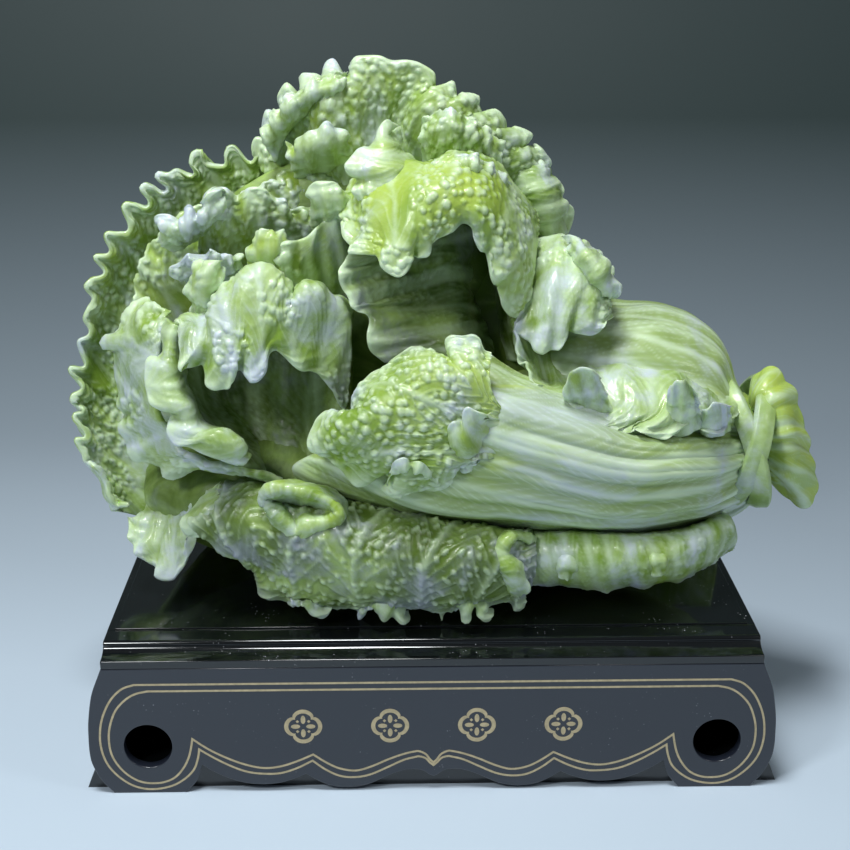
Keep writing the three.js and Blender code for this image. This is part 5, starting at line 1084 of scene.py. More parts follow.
LEAF_TRACES = {
    "back_left_leaf": {3: [
        [130, 506], [118, 508], [112, 499], [107, 490], [103, 482], [96, 466], [85, 462], [82, 453], [78, 441],
        [84, 433], [77, 418], [83, 410], [73, 405], [74, 396], [82, 386], [75, 378], [74, 370], [84, 364], [81, 352],
        [80, 341], [88, 331], [85, 319], [87, 310], [92, 298], [87, 289], [92, 280], [103, 271], [98, 259],
        [107, 250], [109, 237], [119, 232], [127, 227], [127, 210], [135, 205], [146, 203], [145, 190], [152, 187],
        [162, 188], [161, 178], [169, 174], [178, 170], [188, 171], [191, 163], [200, 155], [206, 162], [220, 162],
        [227, 155], [235, 151], [248, 155], [258, 150]]},
    "back_top_leaf": {2: [
        [255, 152], [254, 146], [258, 138], [266, 134], [263, 126], [269, 112], [281, 109], [280, 96], [289, 86],
        [300, 90], [305, 83], [304, 77], [315, 74], [327, 74], [328, 66], [335, 63], [346, 70], [354, 65],
        [356, 59], [367, 56], [380, 56], [392, 59], [408, 60], [421, 64], [434, 73], [440, 84], [451, 83],
        [460, 95], [466, 99], [475, 97], [480, 105], [488, 115], [495, 111], [504, 119], [511, 131], [519, 128],
        [529, 135], [528, 144], [535, 152], [540, 148], [549, 161], [548, 173], [555, 177], [562, 187], [564, 198],
        [571, 207], [572, 217], [569, 229], [565, 239]]},
    "left_mid_leaf": {2: [
        [200, 226], [203, 213], [203, 198], [208, 190], [216, 187], [226, 187], [231, 190], [236, 195], [242, 193],
        [247, 188], [256, 186], [265, 188], [270, 193], [276, 197], [284, 198], [291, 208], [300, 206], [308, 207],
        [316, 206]]},
    "left_inner_leaf": {2: [
        [270, 270], [271, 261], [276, 256], [281, 251], [281, 244], [288, 240], [300, 240], [308, 235], [314, 228],
        [323, 223], [330, 215], [341, 212]]},
    "left_leaf": {0: [
        [150, 299], [138, 304], [129, 312], [123, 322], [116, 333], [105, 342], [112, 347], [115, 358], [116, 372],
        [118, 390], [119, 405], [123, 415], [122, 428], [127, 441], [132, 452], [136, 457], [146, 460], [155, 464],
        [163, 468], [168, 473], [177, 475], [190, 473], [205, 471], [240, 475], [280, 483]]},
    "left_roll": {
        1: [
            [177, 326], [173, 340], [171, 358], [172, 375], [177, 392], [184, 404], [188, 415], [193, 427],
            [203, 434], [214, 433], [223, 433], [232, 440], [239, 448], [238, 457], [246, 463]],
        2: [
            [168, 318], [164, 330], [164, 345], [163, 353], [157, 359], [149, 361], [146, 370], [145, 382],
            [147, 393], [151, 403], [158, 407], [166, 408], [170, 413], [168, 424], [168, 432], [172, 440],
            [178, 446], [188, 447], [200, 452], [215, 458], [236, 463]]},
    "left_flap": {
        1: [
            [176, 328], [181, 322], [190, 321], [200, 323], [209, 322], [214, 316], [214, 305], [217, 298],
            [222, 290], [230, 286], [237, 283], [244, 276], [250, 271], [260, 268], [269, 271], [276, 279],
            [284, 287], [288, 294], [291, 300], [297, 301], [300, 295], [304, 289], [312, 288], [320, 289],
            [326, 296], [333, 302], [340, 304], [347, 316]],
        3: [
            [178, 330], [179, 342], [180, 356], [182, 367], [187, 371], [192, 367], [199, 367], [204, 374],
            [207, 383], [215, 388], [224, 388], [231, 386], [233, 378], [239, 373], [246, 377], [251, 380],
            [259, 379], [266, 372], [268, 362], [272, 355], [279, 353], [286, 358], [292, 365], [300, 370],
            [312, 372], [322, 377], [330, 388], [338, 402], [345, 412]]},
    "hood_leaf": {4: [
        [340, 222], [343, 236], [350, 246], [353, 257], [362, 255], [372, 254], [377, 257], [381, 266], [388, 272],
        [396, 275], [403, 273], [408, 267], [410, 258], [419, 257], [427, 254], [432, 246], [441, 238], [452, 232],
        [463, 227], [471, 230], [475, 241], [480, 250], [487, 256], [488, 266], [489, 275], [493, 283], [499, 289],
        [499, 298], [502, 306], [508, 314], [515, 318]]},
    "hood_hollow_leaf": {3: [
        [352, 252], [343, 262], [336, 270], [337, 280], [343, 289], [348, 299], [350, 308], [357, 313], [365, 312],
        [370, 315], [370, 322], [366, 330], [366, 341], [370, 350], [377, 357], [385, 363]]},
    "front_leaf": {2: [
        [477, 458], [470, 463], [464, 468], [456, 466], [452, 467], [450, 475], [446, 483], [436, 488], [424, 490],
        [412, 491], [401, 492], [393, 491], [387, 487], [384, 480], [378, 475], [372, 478], [365, 481], [357, 481],
        [349, 477], [341, 470], [334, 464], [327, 457], [318, 450], [313, 444], [313, 435], [316, 427], [321, 419],
        [328, 414], [336, 415], [341, 418], [347, 415], [351, 405], [355, 395], [361, 385], [371, 376], [383, 368],
        [393, 361], [402, 355], [412, 350], [421, 349], [432, 351], [445, 352], [448, 345], [453, 340], [463, 338],
        [474, 338], [480, 343], [485, 349], [491, 353]]},
    "right_leaf": {4: [
        [514, 321], [515, 331], [522, 337], [530, 343], [535, 349], [543, 352], [551, 350], [559, 348], [564, 342],
        [567, 334], [577, 334], [590, 334], [599, 330], [607, 322], [613, 314]]},
    "right_low_leaf": {3: [
        [513, 330], [514, 345], [516, 357], [520, 361], [526, 364], [527, 372], [529, 382], [531, 390], [537, 396],
        [546, 402], [551, 408], [557, 411], [563, 407], [567, 405], [572, 410], [578, 415], [584, 421], [587, 429],
        [591, 434], [600, 435], [612, 434], [620, 433], [625, 429], [630, 425], [636, 431], [645, 435], [655, 438],
        [665, 439], [673, 436], [680, 431], [687, 428], [695, 427], [702, 432], [709, 435], [716, 433], [722, 427],
        [731, 424]]},
    "bottom_leaf": {4: [
        [234, 549], [238, 543], [245, 544], [253, 546], [259, 545], [258, 555], [256, 566], [262, 575], [263, 585],
        [268, 593], [278, 598], [300, 603], [330, 606], [360, 607], [405, 608], [440, 609], [490, 604], [510, 603],
        [517, 606], [521, 597], [528, 590]]},
    "bottom_lip": {
        1: [
            [273, 502], [271, 498], [277, 495], [292, 495], [306, 498], [319, 503], [330, 509], [333, 513],
            [327, 517], [316, 518], [306, 518], [299, 521], [295, 524], [290, 518], [284, 513], [278, 508],
            [273, 503], [274, 500]],
        2: [
            [264, 505], [262, 498], [267, 491], [276, 488], [290, 489], [305, 492], [320, 497], [333, 504],
            [339, 512], [335, 518], [326, 523], [314, 526], [304, 528], [296, 533], [288, 527], [279, 518],
            [269, 509], [264, 500]]},
    "left_low_leaf": {2: [
        [127, 514], [129, 527], [131, 538], [135, 546], [139, 554], [147, 562], [155, 569], [160, 576], [168, 579],
        [177, 578], [183, 572], [187, 563], [191, 553], [193, 541], [193, 531]]},
    "grey_curl": {2: [
        [160, 228], [163, 217], [170, 215], [178, 217], [184, 214], [191, 208], [197, 212], [203, 212], [206, 205],
        [203, 197], [207, 191], [214, 189], [220, 196]]},
    "bead_tuft": {2: [
        [169, 276], [171, 267], [179, 262], [185, 256], [191, 252], [198, 255], [206, 254], [209, 248], [215, 249],
        [219, 254], [226, 253], [232, 257], [238, 254], [244, 254]]},
    "crown_left_leaf": {
        0: [
            [403, 126], [400, 138], [398, 149], [404, 156], [412, 161], [420, 167], [427, 175], [433, 182],
            [434, 192]],
        2: [
            [400, 124], [392, 122], [384, 122], [379, 128], [374, 138], [367, 146], [358, 151], [352, 158],
            [348, 167], [350, 175], [354, 180], [354, 190], [358, 198], [363, 205], [367, 209]]},
    "crown_lower_frill": {2: [
        [311, 200], [312, 190], [316, 184], [323, 182], [332, 183], [338, 187], [346, 190], [356, 191]]},
    "crown_upper_frill": {2: [
        [284, 141], [290, 145], [296, 139], [303, 135], [310, 131], [318, 128], [326, 123], [334, 127], [342, 130],
        [348, 137]]},
    "right_curl": {2: [
        [563, 239], [572, 238], [580, 240], [586, 246], [595, 250], [602, 256], [608, 262], [612, 271], [616, 280],
        [617, 286], [612, 291], [604, 291]]},
    "front_curl": {2: [
        [451, 438], [450, 428], [455, 421], [462, 420], [463, 412], [468, 407], [475, 409], [483, 412], [491, 418],
        [499, 421]]},
    "front_low_curl": {2: [
        [391, 484], [392, 474], [394, 465], [398, 459], [405, 457], [411, 461], [419, 461], [426, 466], [432, 474],
        [436, 486]]},
    "low_frill_left": {2: [
        [288, 597], [294, 600], [301, 602], [309, 604], [314, 609], [320, 615], [325, 613], [328, 607], [325, 600]]},
    "low_frill_middle": {2: [
        [359, 621], [361, 613], [366, 607], [373, 609], [378, 614], [384, 619], [392, 618], [400, 620], [405, 617],
        [406, 610]]},
    "low_frill_right": {2: [
        [441, 620], [443, 612], [447, 605], [454, 602], [460, 609], [465, 618], [470, 613], [476, 609], [481, 615],
        [486, 615], [488, 607]]},
    "left_margin_lobe": {2: [
        [221, 481], [212, 489], [203, 497], [194, 506], [188, 513], [184, 521], [187, 530], [195, 534], [206, 533],
        [215, 529], [223, 527], [229, 528], [231, 538], [234, 548]]},
    "low_right_curl": {
        0: [
            [535, 536], [522, 532], [510, 533], [501, 539], [495, 547], [496, 560], [499, 575], [502, 590],
            [512, 599]],
        2: [
            [535, 541], [525, 541], [515, 543], [508, 549], [511, 557], [517, 562], [523, 567], [528, 577],
            [529, 586], [522, 594], [516, 598]]},
}


def lumpy_core(name, middle, half, seed, finish):
    """The full body under the leaves: a rounded mass with a carved, uneven surface."""
    bm = bmesh.new()
    bmesh.ops.create_icosphere(bm, subdivisions=6, radius=1)
    mesh = mesh_from(bm, name)
    ways = unit(vertex_places(mesh))
    swell = 1 + 0.03 * wander_space(ways, 0.35, seed) + 0.012 * wander_space(ways, 0.09, seed + 1)
    places = placed(middle) + ways * swell[:, None] * np.array(half) * np.array(BOX_SIZE)
    places[:, 2] = np.maximum(places[:, 2], BOX_LOW.z)
    move_vertices(mesh, places)
    tell(mesh, "rim", np.zeros(len(ways)))
    tell(mesh, "cool", np.full(len(ways), 0.3))
    # Painted highlight: the swellings are paled a little.
    tell(mesh, "high", np.clip(swell - 1, 0, 0.04) * 6)
    return piece(name, mesh, "carving", finish, ["jade_carving"])


def looped(name, around, across, place):
    """A grid closed on itself both ways, like a ring; place(turn, section) gives the points."""
    bm = bmesh.new()
    bmesh.ops.create_grid(bm, x_segments=around, y_segments=across, size=0.5)
    mesh = mesh_from(bm, name)
    spots = vertex_places(mesh) + 0.5
    column = np.rint(spots[:, 0] * around) % around
    row = np.rint(spots[:, 1] * across) % across
    move_vertices(mesh, place(2 * math.pi * column / around, 2 * math.pi * row / across))
    bm = bmesh.new()
    bm.from_mesh(mesh)
    bmesh.ops.remove_doubles(bm, verts=list(bm.verts), dist=1e-6)
    bmesh.ops.recalc_face_normals(bm, faces=list(bm.faces))
    bm.to_mesh(mesh)
    bm.free()
    return mesh


def tie_band(name, lean, seed):
    """A flat grooved band carved round the neck of the cabbage."""
    middle = placed((0.893, 0.5, 0.285))
    half_depth, half_height = 0.033, 0.034

    def place(turn, section):
        flat = 0.0064 * np.sign(np.cos(section)) * np.abs(np.cos(section)) ** 0.7
        thick = 0.0032 * np.sign(np.sin(section)) * np.abs(np.sin(section)) ** 0.7
        thick = thick * (1 - 0.16 * np.abs(np.cos(3 * section)))
        twist = 0.5 * np.sin(turn + seed) + lean
        out = thick * np.cos(twist) - flat * np.sin(twist) * 0.6
        along = flat * np.cos(twist) + thick * np.sin(twist)
        uneven = 1 + 0.03 * np.sin(3 * turn + seed)
        x = middle[0] + lean * half_height * np.sin(turn) + along + 0.002 * np.sin(2 * turn + seed)
        y = middle[1] + (half_depth * uneven + out) * np.cos(turn)
        z = middle[2] + (half_height * uneven + out) * np.sin(turn)
        return np.stack([x, y, z], axis=1)

    mesh = looped(name, 180, 36, place)
    count = len(mesh.vertices)
    tell(mesh, "rim", np.full(count, 0.25))
    tell(mesh, "cool", np.full(count, 0.5))
    tell(mesh, "high", np.full(count, 0.3))
    return piece(name, mesh, "carving", jade_finish(), ["jade_carving"])


# How each leaf is carved: what differs from an ordinary leaf

STEM_LEAF = dict(ruffle=0, lobe=0, blisters=0.0, ribs=0.0026, puff=0.0, vein_height=0.0, thickness=0.006)
INNER_LEAF = dict(ruffle=0.0, lobe=0.0, thickness=0.005)
ALL_ROUND = ("edge", "start", "end")

UPPER_LEAVES = {
    "back_left_leaf": dict(ruffle=-0.0014, wave=0.02, lobe=0.003, seed=11, veins=11, blister_cover=0.5, cool=0.3,
                           reach=0.012, thickness=0.0052),
    "back_top_leaf": dict(ruffle=0.0008, wave=0.018, lobe=0.0022, seed=23, veins=11, blister_cover=0.5, cool=0.25,
                          reach=0.009, thickness=0.0052),
    "left_back_leaf": dict(ruffle=0.004, wave=0.02, lobe=0.004, seed=27, veins=7, blister_cover=0.4),
    "left_mid_leaf": dict(ruffle=0.0026, wave=0.02, lobe=0.001, seed=31, veins=6, blister_cover=0.4, cool=0.3),
    "left_inner_leaf": dict(ruffle=0.0024, wave=0.02, lobe=0.001, seed=41, veins=6, free_sides=("edge", "start"),
                            cool=0.3),
    "left_leaf": dict(ruffle=0.0024, wave=0.022, lobe=0.001, seed=51, veins=6, free_sides=("root", "start"), cool=0.6),
    "left_roll": dict(ruffle=0.0012, wave=0.026, lobe=0.0, seed=55, veins=3, blisters=0.1, thickness=0.0045, cool=0.75),
    "hollow_leaf": {**INNER_LEAF, "seed": 61, "blisters": 0.6, "veins": 4, "vein_height": 0.001, "ribs": 0.0016,
                    "rib_count": 9},
    "left_flap": dict(step=0.0009, ruffle=0.0028, wave=0.022, lobe=0.0008, seed=71, veins=6,
                      free_sides=("edge", "start"), cool=0.65, vein_height=0.0009),
    "hood_leaf": dict(step=0.0009, ruffle=0.0022, wave=0.018, lobe=0.0008, seed=81, veins=4,
                      blister_cover=0.25, cool=0.1, vein_height=0.0004),
    "hood_hollow_leaf": dict(ruffle=0.0015, lobe=0.0005, seed=91, blisters=0.6, veins=5, vein_height=0.001,
                             vein_bend=0.9, ribs=0.0016, rib_count=7),
    "slit_leaf": {**INNER_LEAF, "seed": 95, "blisters": 0.0, "veins": 4, "vein_height": 0.0026, "vein_bend": 0.6},
    "right_leaf": dict(step=0.0009, ruffle=0.002, wave=0.02, lobe=0.001, seed=101, veins=5, blisters=0.8,
                       free_sides=ALL_ROUND, cool=0.65, vein_height=0.0008),
    "right_low_leaf": dict(ruffle=0.0044, wave=0.022, lobe=0.0008, seed=111, veins=7, blisters=0.3, cool=0.7,
                           vein_height=0.0008, reach=0.013, step=0.0009),
}
# The hollows, and the lowest leaf, which is as dark: both lie in shade, so they take the jade with painted shade
PAINTED_SHADE_LEAVES = ("hollow_leaf", "hood_hollow_leaf", "slit_leaf", "bottom_leaf")

LOWER_LEAVES = {
    "front_leaf": dict(ruffle=0.0024, wave=0.022, lobe=0.0008, seed=121, veins=3, blister_cover=0.3, cool=0.3,
                       vein_height=0.0014, vein_bend=0.5, step=0.0009),
    "bottom_leaf": dict(step=0.0009, ruffle=0.0018, wave=0.022, lobe=0.0008, seed=131, veins=5,
                        vein_height=0.003, slant=0.14, scales=True, blisters=1.1, blister_cover=0.8, cool=0.5,
                        free_sides=("edge", "start")),
    "bottom_lip": dict(ruffle=0.0, lobe=0.0, seed=141, veins=5, blisters=0.2, thickness=0.003, cool=0.35,
                       free_sides=()),
    "bottom_frill": dict(ruffle=0.0014, wave=0.024, lobe=0.0, seed=151, veins=11, blisters=0.3, thickness=0.006,
                         vein_height=0.0018, cool=0.6),
    "left_low_leaf": dict(ruffle=0.0026, wave=0.02, lobe=0.0008, seed=161, veins=5, free_sides=ALL_ROUND, cool=0.6),
}

REAR_LEAVES = {
    "rear_leaf": dict(ruffle=0.005, wave=0.02, lobe=0.005, seed=171, veins=9, towards=(0, 1, 0), step=0.0016,
                      blister_cover=0.2),
    "rear_low_leaf": dict(ruffle=0.004, wave=0.02, lobe=0.005, seed=181, veins=7, towards=(0, 1, 0), step=0.0016),
}

SMALL_LEAF = dict(ruffle=0.002, wave=0.014, lobe=0.0012, reach=0.008, veins=4, blisters=0.3, free_sides=ALL_ROUND,
                  step=0.0009, thickness=0.0028, cool=0.5)
SMALL_LEAVES = {
    "grey_curl": dict(seed=501, ruffle=0.003, wave=0.012, cool=0.7, blisters=1.0, blister_cover=1.0),
    "bead_tuft": dict(seed=502, blisters=1.0, blister_cover=1.0, cool=0.9),
    "left_lobe": dict(seed=503, blisters=0.8, blister_cover=0.5),
    "tall_lobe": dict(seed=504, cool=0.2),
    "crown_left_leaf": dict(seed=507, ribs=0.0007, rib_count=5),
    "crown_right_leaf": dict(seed=508, ruffle=0.002, lobe=0.003, blisters=1.0, blister_cover=0.6),
    "crown_bead_leaf": dict(seed=509, ruffle=0.002, lobe=0.003, blisters=1.0, blister_cover=0.6),
    "crown_upper_frill": dict(seed=510, ruffle=0.002),
    "crown_lower_frill": dict(seed=511, blisters=0.8, blister_cover=0.5),
    "crown_outer_frill": dict(seed=512, ruffle=0.003, lobe=0.003, blisters=1.0, blister_cover=0.4),
    "right_flank": dict(seed=513, ribs=0.0012),
    "right_curl": dict(seed=514, cool=0.8),
    "right_hanging_lobe": dict(seed=515, cool=0.5, ruffle=0.0014, wave=0.018, lobe=0.0006),
    "lilac_lobe": dict(seed=516, cool=0.8, ruffle=0.0012, wave=0.016, lobe=0.0006),
    "neck_lobe": dict(seed=517, cool=0.6, ruffle=0.001, wave=0.015, lobe=0.0005),
    "front_curl": dict(seed=518, cool=0.3),
    "front_low_curl": dict(seed=519, cool=0.3),
    "low_frill_left": dict(seed=520),
    "low_frill_middle": dict(seed=521),
    "low_frill_right": dict(seed=522),
    "low_right_curl": dict(seed=523),
    "left_margin_lobe": dict(seed=524, blisters=0.4),
    "keel_lobe_a": dict(seed=525),
    "keel_lobe_b": dict(seed=526),
}

STEMS = {
    "front_stem": {**STEM_LEAF, "seed": 191, "rib_count": 8, "ribs": 0.0034, "cool": 0.5},
    "back_stem": {**STEM_LEAF, "seed": 201, "ribs": 0.0018, "rib_count": 7},
}

ROOTS = {
    "front_roots": [
        [[.753, .41, .5], [.755, .41, .46], [.758, .413, .43], [.76, .418, .42], [.762, .425, .41],
            [.763, .432, .41], [.764, .44, .42], [.764, .448, .43], [.762, .455, .46], [.758, .46, .5]],
        [[.751, .4, .48], [.756, .394, .42], [.766, .393, .38], [.775, .403, .36], [.781, .418, .35],
            [.785, .435, .35], [.788, .452, .36], [.789, .468, .38], [.78, .474, .42], [.765, .47, .48]],
        [[.751, .392, .5], [.757, .377, .48], [.772, .371, .46], [.787, .388, .44], [.797, .412, .43],
            [.803, .437, .43], [.809, .462, .44], [.815, .49, .46], [.8, .5, .48], [.772, .482, .5]],
    ],
    "back_roots": [
        [[.753, .41, .5], [.755, .41, .54], [.758, .413, .57], [.76, .418, .58], [.762, .425, .59],
            [.763, .432, .59], [.764, .44, .58], [.764, .448, .57], [.762, .455, .54], [.758, .46, .5]],
        [[.751, .4, .52], [.756, .394, .58], [.766, .393, .62], [.775, .403, .64], [.781, .418, .65],
            [.785, .435, .65], [.788, .452, .64], [.789, .468, .62], [.78, .474, .58], [.765, .47, .52]],
        [[.751, .394, .5], [.757, .38, .52], [.77, .375, .54], [.784, .392, .56], [.793, .415, .57],
            [.799, .439, .57], [.804, .463, .56], [.809, .488, .54], [.796, .496, .52], [.77, .48, .5]],
    ],
}

CORES = {
    "head_core": ((0.37, 0.72, 0.46), (0.24, 0.21, 0.36)),
    "shoulder_core": ((0.6, 0.68, 0.4), (0.13, 0.19, 0.23)),
    "lower_core": ((0.42, 0.6, 0.18), (0.33, 0.43, 0.16)),
    "stem_core": ((0.69, 0.56, 0.25), (0.215, 0.32, 0.205)),
    "neck_core": ((0.875, 0.52, 0.285), (0.065, 0.175, 0.095)),
    "root_core": ((0.918, 0.5, 0.285), (0.033, 0.095, 0.08)),
}


# The stand

PANEL_RUNS = (
    ((0, 8.2), (2.6, 9.4), (5.6, 11.6), (9.3, 12.4), (13, 12.3), (16, 11.9), (23.7, 9.0), (33.1, 4.2),
     (40, 2.3), (47.5, 1.9), (55, 3.1), (61.6, 6.2), (67.8, 10.3)),
    ((67.8, 10.3), (73, 7.8), (81.7, 5.0), (90.6, 4.2), (99.4, 5.1), (108.2, 7.9), (116.8, 12.3), (122.6, 16.4)),
    ((122.6, 16.4), (123.6, 12.4), (126, 6.5), (131.3, 0.0)),
    ((170, 0), (176.1, 7.5), (180.3, 16.8), (181.5, 24), (181.5, 33.4), (180.9, 43.3), (178.4, 57.9),
     (174.3, 69), (172.5, 73.5)),
)
OUTER_LINE_RUNS = (
    ((0, 15), (2, 16.8), (4.2, 19.3), (7.5, 20.4), (10, 20.0), (16, 18.3), (24, 14.3), (33.5, 9.8), (42, 8.2),
     (50, 9.2), (57.5, 13.2), (64.1, 18.5)),
    ((64.1, 18.5), (72.6, 14), (81.5, 11.1), (90.4, 10.9), (99.2, 12.3), (107.8, 16), (116.4, 21), (123.7, 26)),
    ((123.7, 26), (124.3, 22), (125.3, 18.2), (126.6, 14.7), (128.8, 11.5), (132.9, 7.7), (138.4, 4.4),
     (145.6, 2.5), (152.7, 2.4), (159.6, 4.5), (165.5, 8.7), (170.4, 14.2), (173.5, 20.3), (175.1, 27.3),
     (175.3, 34.3), (174.2, 42.2), (171.5, 50), (167.6, 56.8), (162.1, 62.1), (155.9, 64.4)),
    ((155.9, 64.4), (0, 64.4)),
)
INNER_LINE_RUNS = (
    ((0, 16.6), (2, 18.8), (4.2, 21.8), (7.5, 23.5), (10, 23.4), (16, 21.9), (24, 18.8), (33.5, 14.4), (41.5, 12.2),
     (50, 13.7), (57, 17.4), (63.7, 22.2)),
    ((63.7, 22.2), (71.6, 18.5), (79.6, 15.6), (87.6, 14.3), (94.7, 15.1), (103.4, 17.9), (112, 22), (119.7, 26.6),
     (127, 32.2)),
    ((127, 32.2), (128, 26.7), (129.6, 20.8), (132.6, 14.7), (137.3, 9.2), (143.6, 6.3), (150.7, 5.9), (156.8, 7.4),
     (162.7, 11.6), (167.1, 17.2), (169.8, 23.2), (170.7, 29.3), (170.5, 36.2), (168.9, 43.1), (165.9, 50),
     (160.7, 55.8), (155.3, 59.1), (149.2, 60.6)),
    ((149.2, 60.6), (0, 60.6)),
)


def half_line(runs, steps=8):
    """Points in metres through each run of a right-hand outline, with its corners kept."""
    points = []
    for run in runs:
        table = np.array(run, dtype=float) * 0.001
        count = 1 if len(run) == 2 else steps * (len(run) - 1)
        line = smooth(table, np.linspace(0, 1, count + 1))
        points.extend(line if not points else line[1:] if np.allclose(points[-1], line[0]) else line)
    return np.array(points)


def both_halves(half):
    """A closed line from its right half, whose first and last points may lie on the middle."""
    inner = half[1:] if abs(half[0, 0]) < 1e-9 else half
    inner = inner[:-1] if abs(half[-1, 0]) < 1e-9 else inner
    left = inner[::-1] * (-1, 1)
    return np.concatenate([half, left])


def circle(x, z, radius, count=96):
    turns = np.linspace(0, 2 * math.pi, count, endpoint=False)
    return np.stack([x + radius * np.cos(turns), z + radius * np.sin(turns)], axis=1)


def board(name, outlines, front, back, edge_round, body, finish, replaced=()):
    """A flat board cut to outlines in X and Z, with its edges rounded over; the first outline is outside."""
    line = bpy.data.curves.new(name, "CURVE")
    line.dimensions = "2D"
    line.fill_mode = "BOTH"
    line.extrude = (back - front) / 2 - edge_round
    line.bevel_depth = edge_round
    line.bevel_resolution = 2
    line.offset = -edge_round
    for outline in outlines:
        spline = line.splines.new("POLY")
        spline.points.add(len(outline) - 1)
        flat = np.column_stack([outline, np.zeros(len(outline)), np.ones(len(outline))])
        spline.points.foreach_set("co", flat.ravel())
        spline.use_cyclic_u = True
    holder = bpy.data.objects.new(name, line)
    bpy.context.scene.collection.objects.link(holder)
    mesh = bpy.data.meshes.new_from_object(holder.evaluated_get(bpy.context.evaluated_depsgraph_get()))
    bpy.data.objects.remove(holder)
    bpy.data.curves.remove(line)
    bm = bmesh.new()
    bm.from_mesh(mesh)
    bmesh.ops.remove_doubles(bm, verts=list(bm.verts), dist=2e-6)
    bmesh.ops.transform(bm, matrix=Matrix.Rotation(math.pi / 2, 4, "X"), verts=list(bm.verts))
    bmesh.ops.translate(bm, verts=list(bm.verts), vec=(0, (front + back) / 2, 0))
    bmesh.ops.recalc_face_normals(bm, faces=list(bm.faces))
    for face in bm.faces:
        face.smooth = abs(face.normal.y) < 0.999
    bm.to_mesh(mesh)
    bm.free()
    mesh.name = name
    return piece(name, mesh, body, finish, replaced, smooth_faces=False)


def inlaid_line(name, line, width, front, finish):
    """A thin strip of even width along a closed line on the panel's face."""
    ahead = np.roll(line, -1, axis=0) - line
    ahead = ahead / np.linalg.norm(ahead, axis=1, keepdims=True)
    behind = np.roll(ahead, 1, axis=0)
    across = np.stack([-(ahead + behind)[:, 1], (ahead + behind)[:, 0]], axis=1)
    across = across / np.maximum(np.linalg.norm(across, axis=1, keepdims=True), 1e-9)
    miter = np.clip(np.abs((across * np.stack([-ahead[:, 1], ahead[:, 0]], axis=1)).sum(axis=1)), 0.45, 1)
    reach = across * (0.5 * width / miter)[:, None]
    count = len(line)
    bm = bmesh.new()
    bmesh.ops.create_grid(bm, x_segments=count, y_segments=1, size=0.5)
    mesh = mesh_from(bm, name)
    spots = vertex_places(mesh)
    index = np.rint((spots[:, 0] + 0.5) * count).astype(int) % count
    flat = line[index] + reach[index] * np.sign(spots[:, 1])[:, None]
    move_vertices(mesh, np.column_stack([flat[:, 0], np.full(len(flat), front), flat[:, 1]]))
    bm = bmesh.new()
    bm.from_mesh(mesh)
    bmesh.ops.remove_doubles(bm, verts=list(bm.verts), dist=1e-7)
    grown = bmesh.ops.extrude_face_region(bm, geom=list(bm.faces))
    moved = [part for part in grown["geom"] if isinstance(part, bmesh.types.BMVert)]
    bmesh.ops.translate(bm, verts=moved, vec=(0, 0.0002, 0))
    bmesh.ops.recalc_face_normals(bm, faces=list(bm.faces))
    bm.to_mesh(mesh)
    bm.free()
    return piece(name, mesh, "stand", finish, smooth_faces=False)


def platform_section():
    """The platform's section in Y and Z: fascia, cove and rounded nose, front and back."""
    edge = [(0.085, 0.0735), (0.085, 0.0776)]
    turns = np.linspace(0, math.pi / 2, 13)
    edge += [(0.085 - 0.0100 * math.sin(turn) - 0.0004, 0.0780 + 0.0035 * (1 - math.cos(turn))) for turn in turns]
    edge += [(0.0725 + 0.0022 * math.cos(turn), 0.0818 + 0.0022 * math.sin(turn)) for turn in turns]
    edge += [(0.0615, 0.0840), (0.0612, 0.0842)]
    front = [(-y, z) for y, z in reversed(edge)]
    return edge + front


def extruded_along_x(name, section, left, right, edge_round):
    """A moulding: its section in Y and Z, drawn out along X, with its sharp edges rounded over."""
    bm = bmesh.new()
    start = [bm.verts.new((left, y, z)) for y, z in section]
    end_face = bm.faces.new(start)
    grown = bmesh.ops.extrude_face_region(bm, geom=[end_face])
    moved = [part for part in grown["geom"] if isinstance(part, bmesh.types.BMVert)]
    bmesh.ops.translate(bm, verts=moved, vec=(right - left, 0, 0))
    bmesh.ops.recalc_face_normals(bm, faces=list(bm.faces))
    sharp = [edge for edge in bm.edges if edge.calc_face_angle(0) > 0.9]
    bmesh.ops.bevel(
        bm, geom=sharp, offset=edge_round, affect="EDGES", segments=3, profile=0.5, material=-1, clamp_overlap=True
    )
    for face in bm.faces:
        face.smooth = face.calc_area() < 0.0003
    return mesh_from(bm, name)


def ornament_outlines(x, z, size):
    """A four-petalled flower in a ring of four arcs, with four small lozenges between its petals."""
    turns = np.linspace(0, 2 * math.pi, 128, endpoint=False)

    def petals(radius, depth):
        return radius * (1 - depth + depth * np.abs(np.cos(2 * turns)) ** 0.6)

    def ring(radii):
        return np.stack([x + radii * np.cos(turns), z + radii * np.sin(turns)], axis=1)

    outer = ring(petals(size * 0.5, 0.24))
    inner = ring(petals(size * 0.39, 0.26))
    outlines = [outer, inner]
    for turn in (0, 0.5, 1, 1.5):
        way = math.pi * turn
        middle = np.array([x + 0.2 * size * math.cos(way), z + 0.2 * size * math.sin(way)])
        along = np.array([math.cos(way), math.sin(way)])
        side = np.array([-along[1], along[0]])
        steps = np.linspace(0, 2 * math.pi, 32, endpoint=False)
        leaf_line = middle + np.outer(np.cos(steps) * 0.12 * size, along)
        outlines.append(leaf_line + np.outer(np.sin(steps) * 0.062 * size, side))
    tips = np.array([(1, 0), (0, 1), (-1, 0), (0, -1)]) @ np.array([(0.707, 0.707), (-0.707, 0.707)])
    for tip in tips:
        middle = np.array([x, z]) + 0.21 * size * tip
        outlines.append(middle + 0.045 * size * np.array([(1, 0), (0, 1), (-1, 0), (0, -1)]))
    return outlines


# Places on the stand and round it, in metres

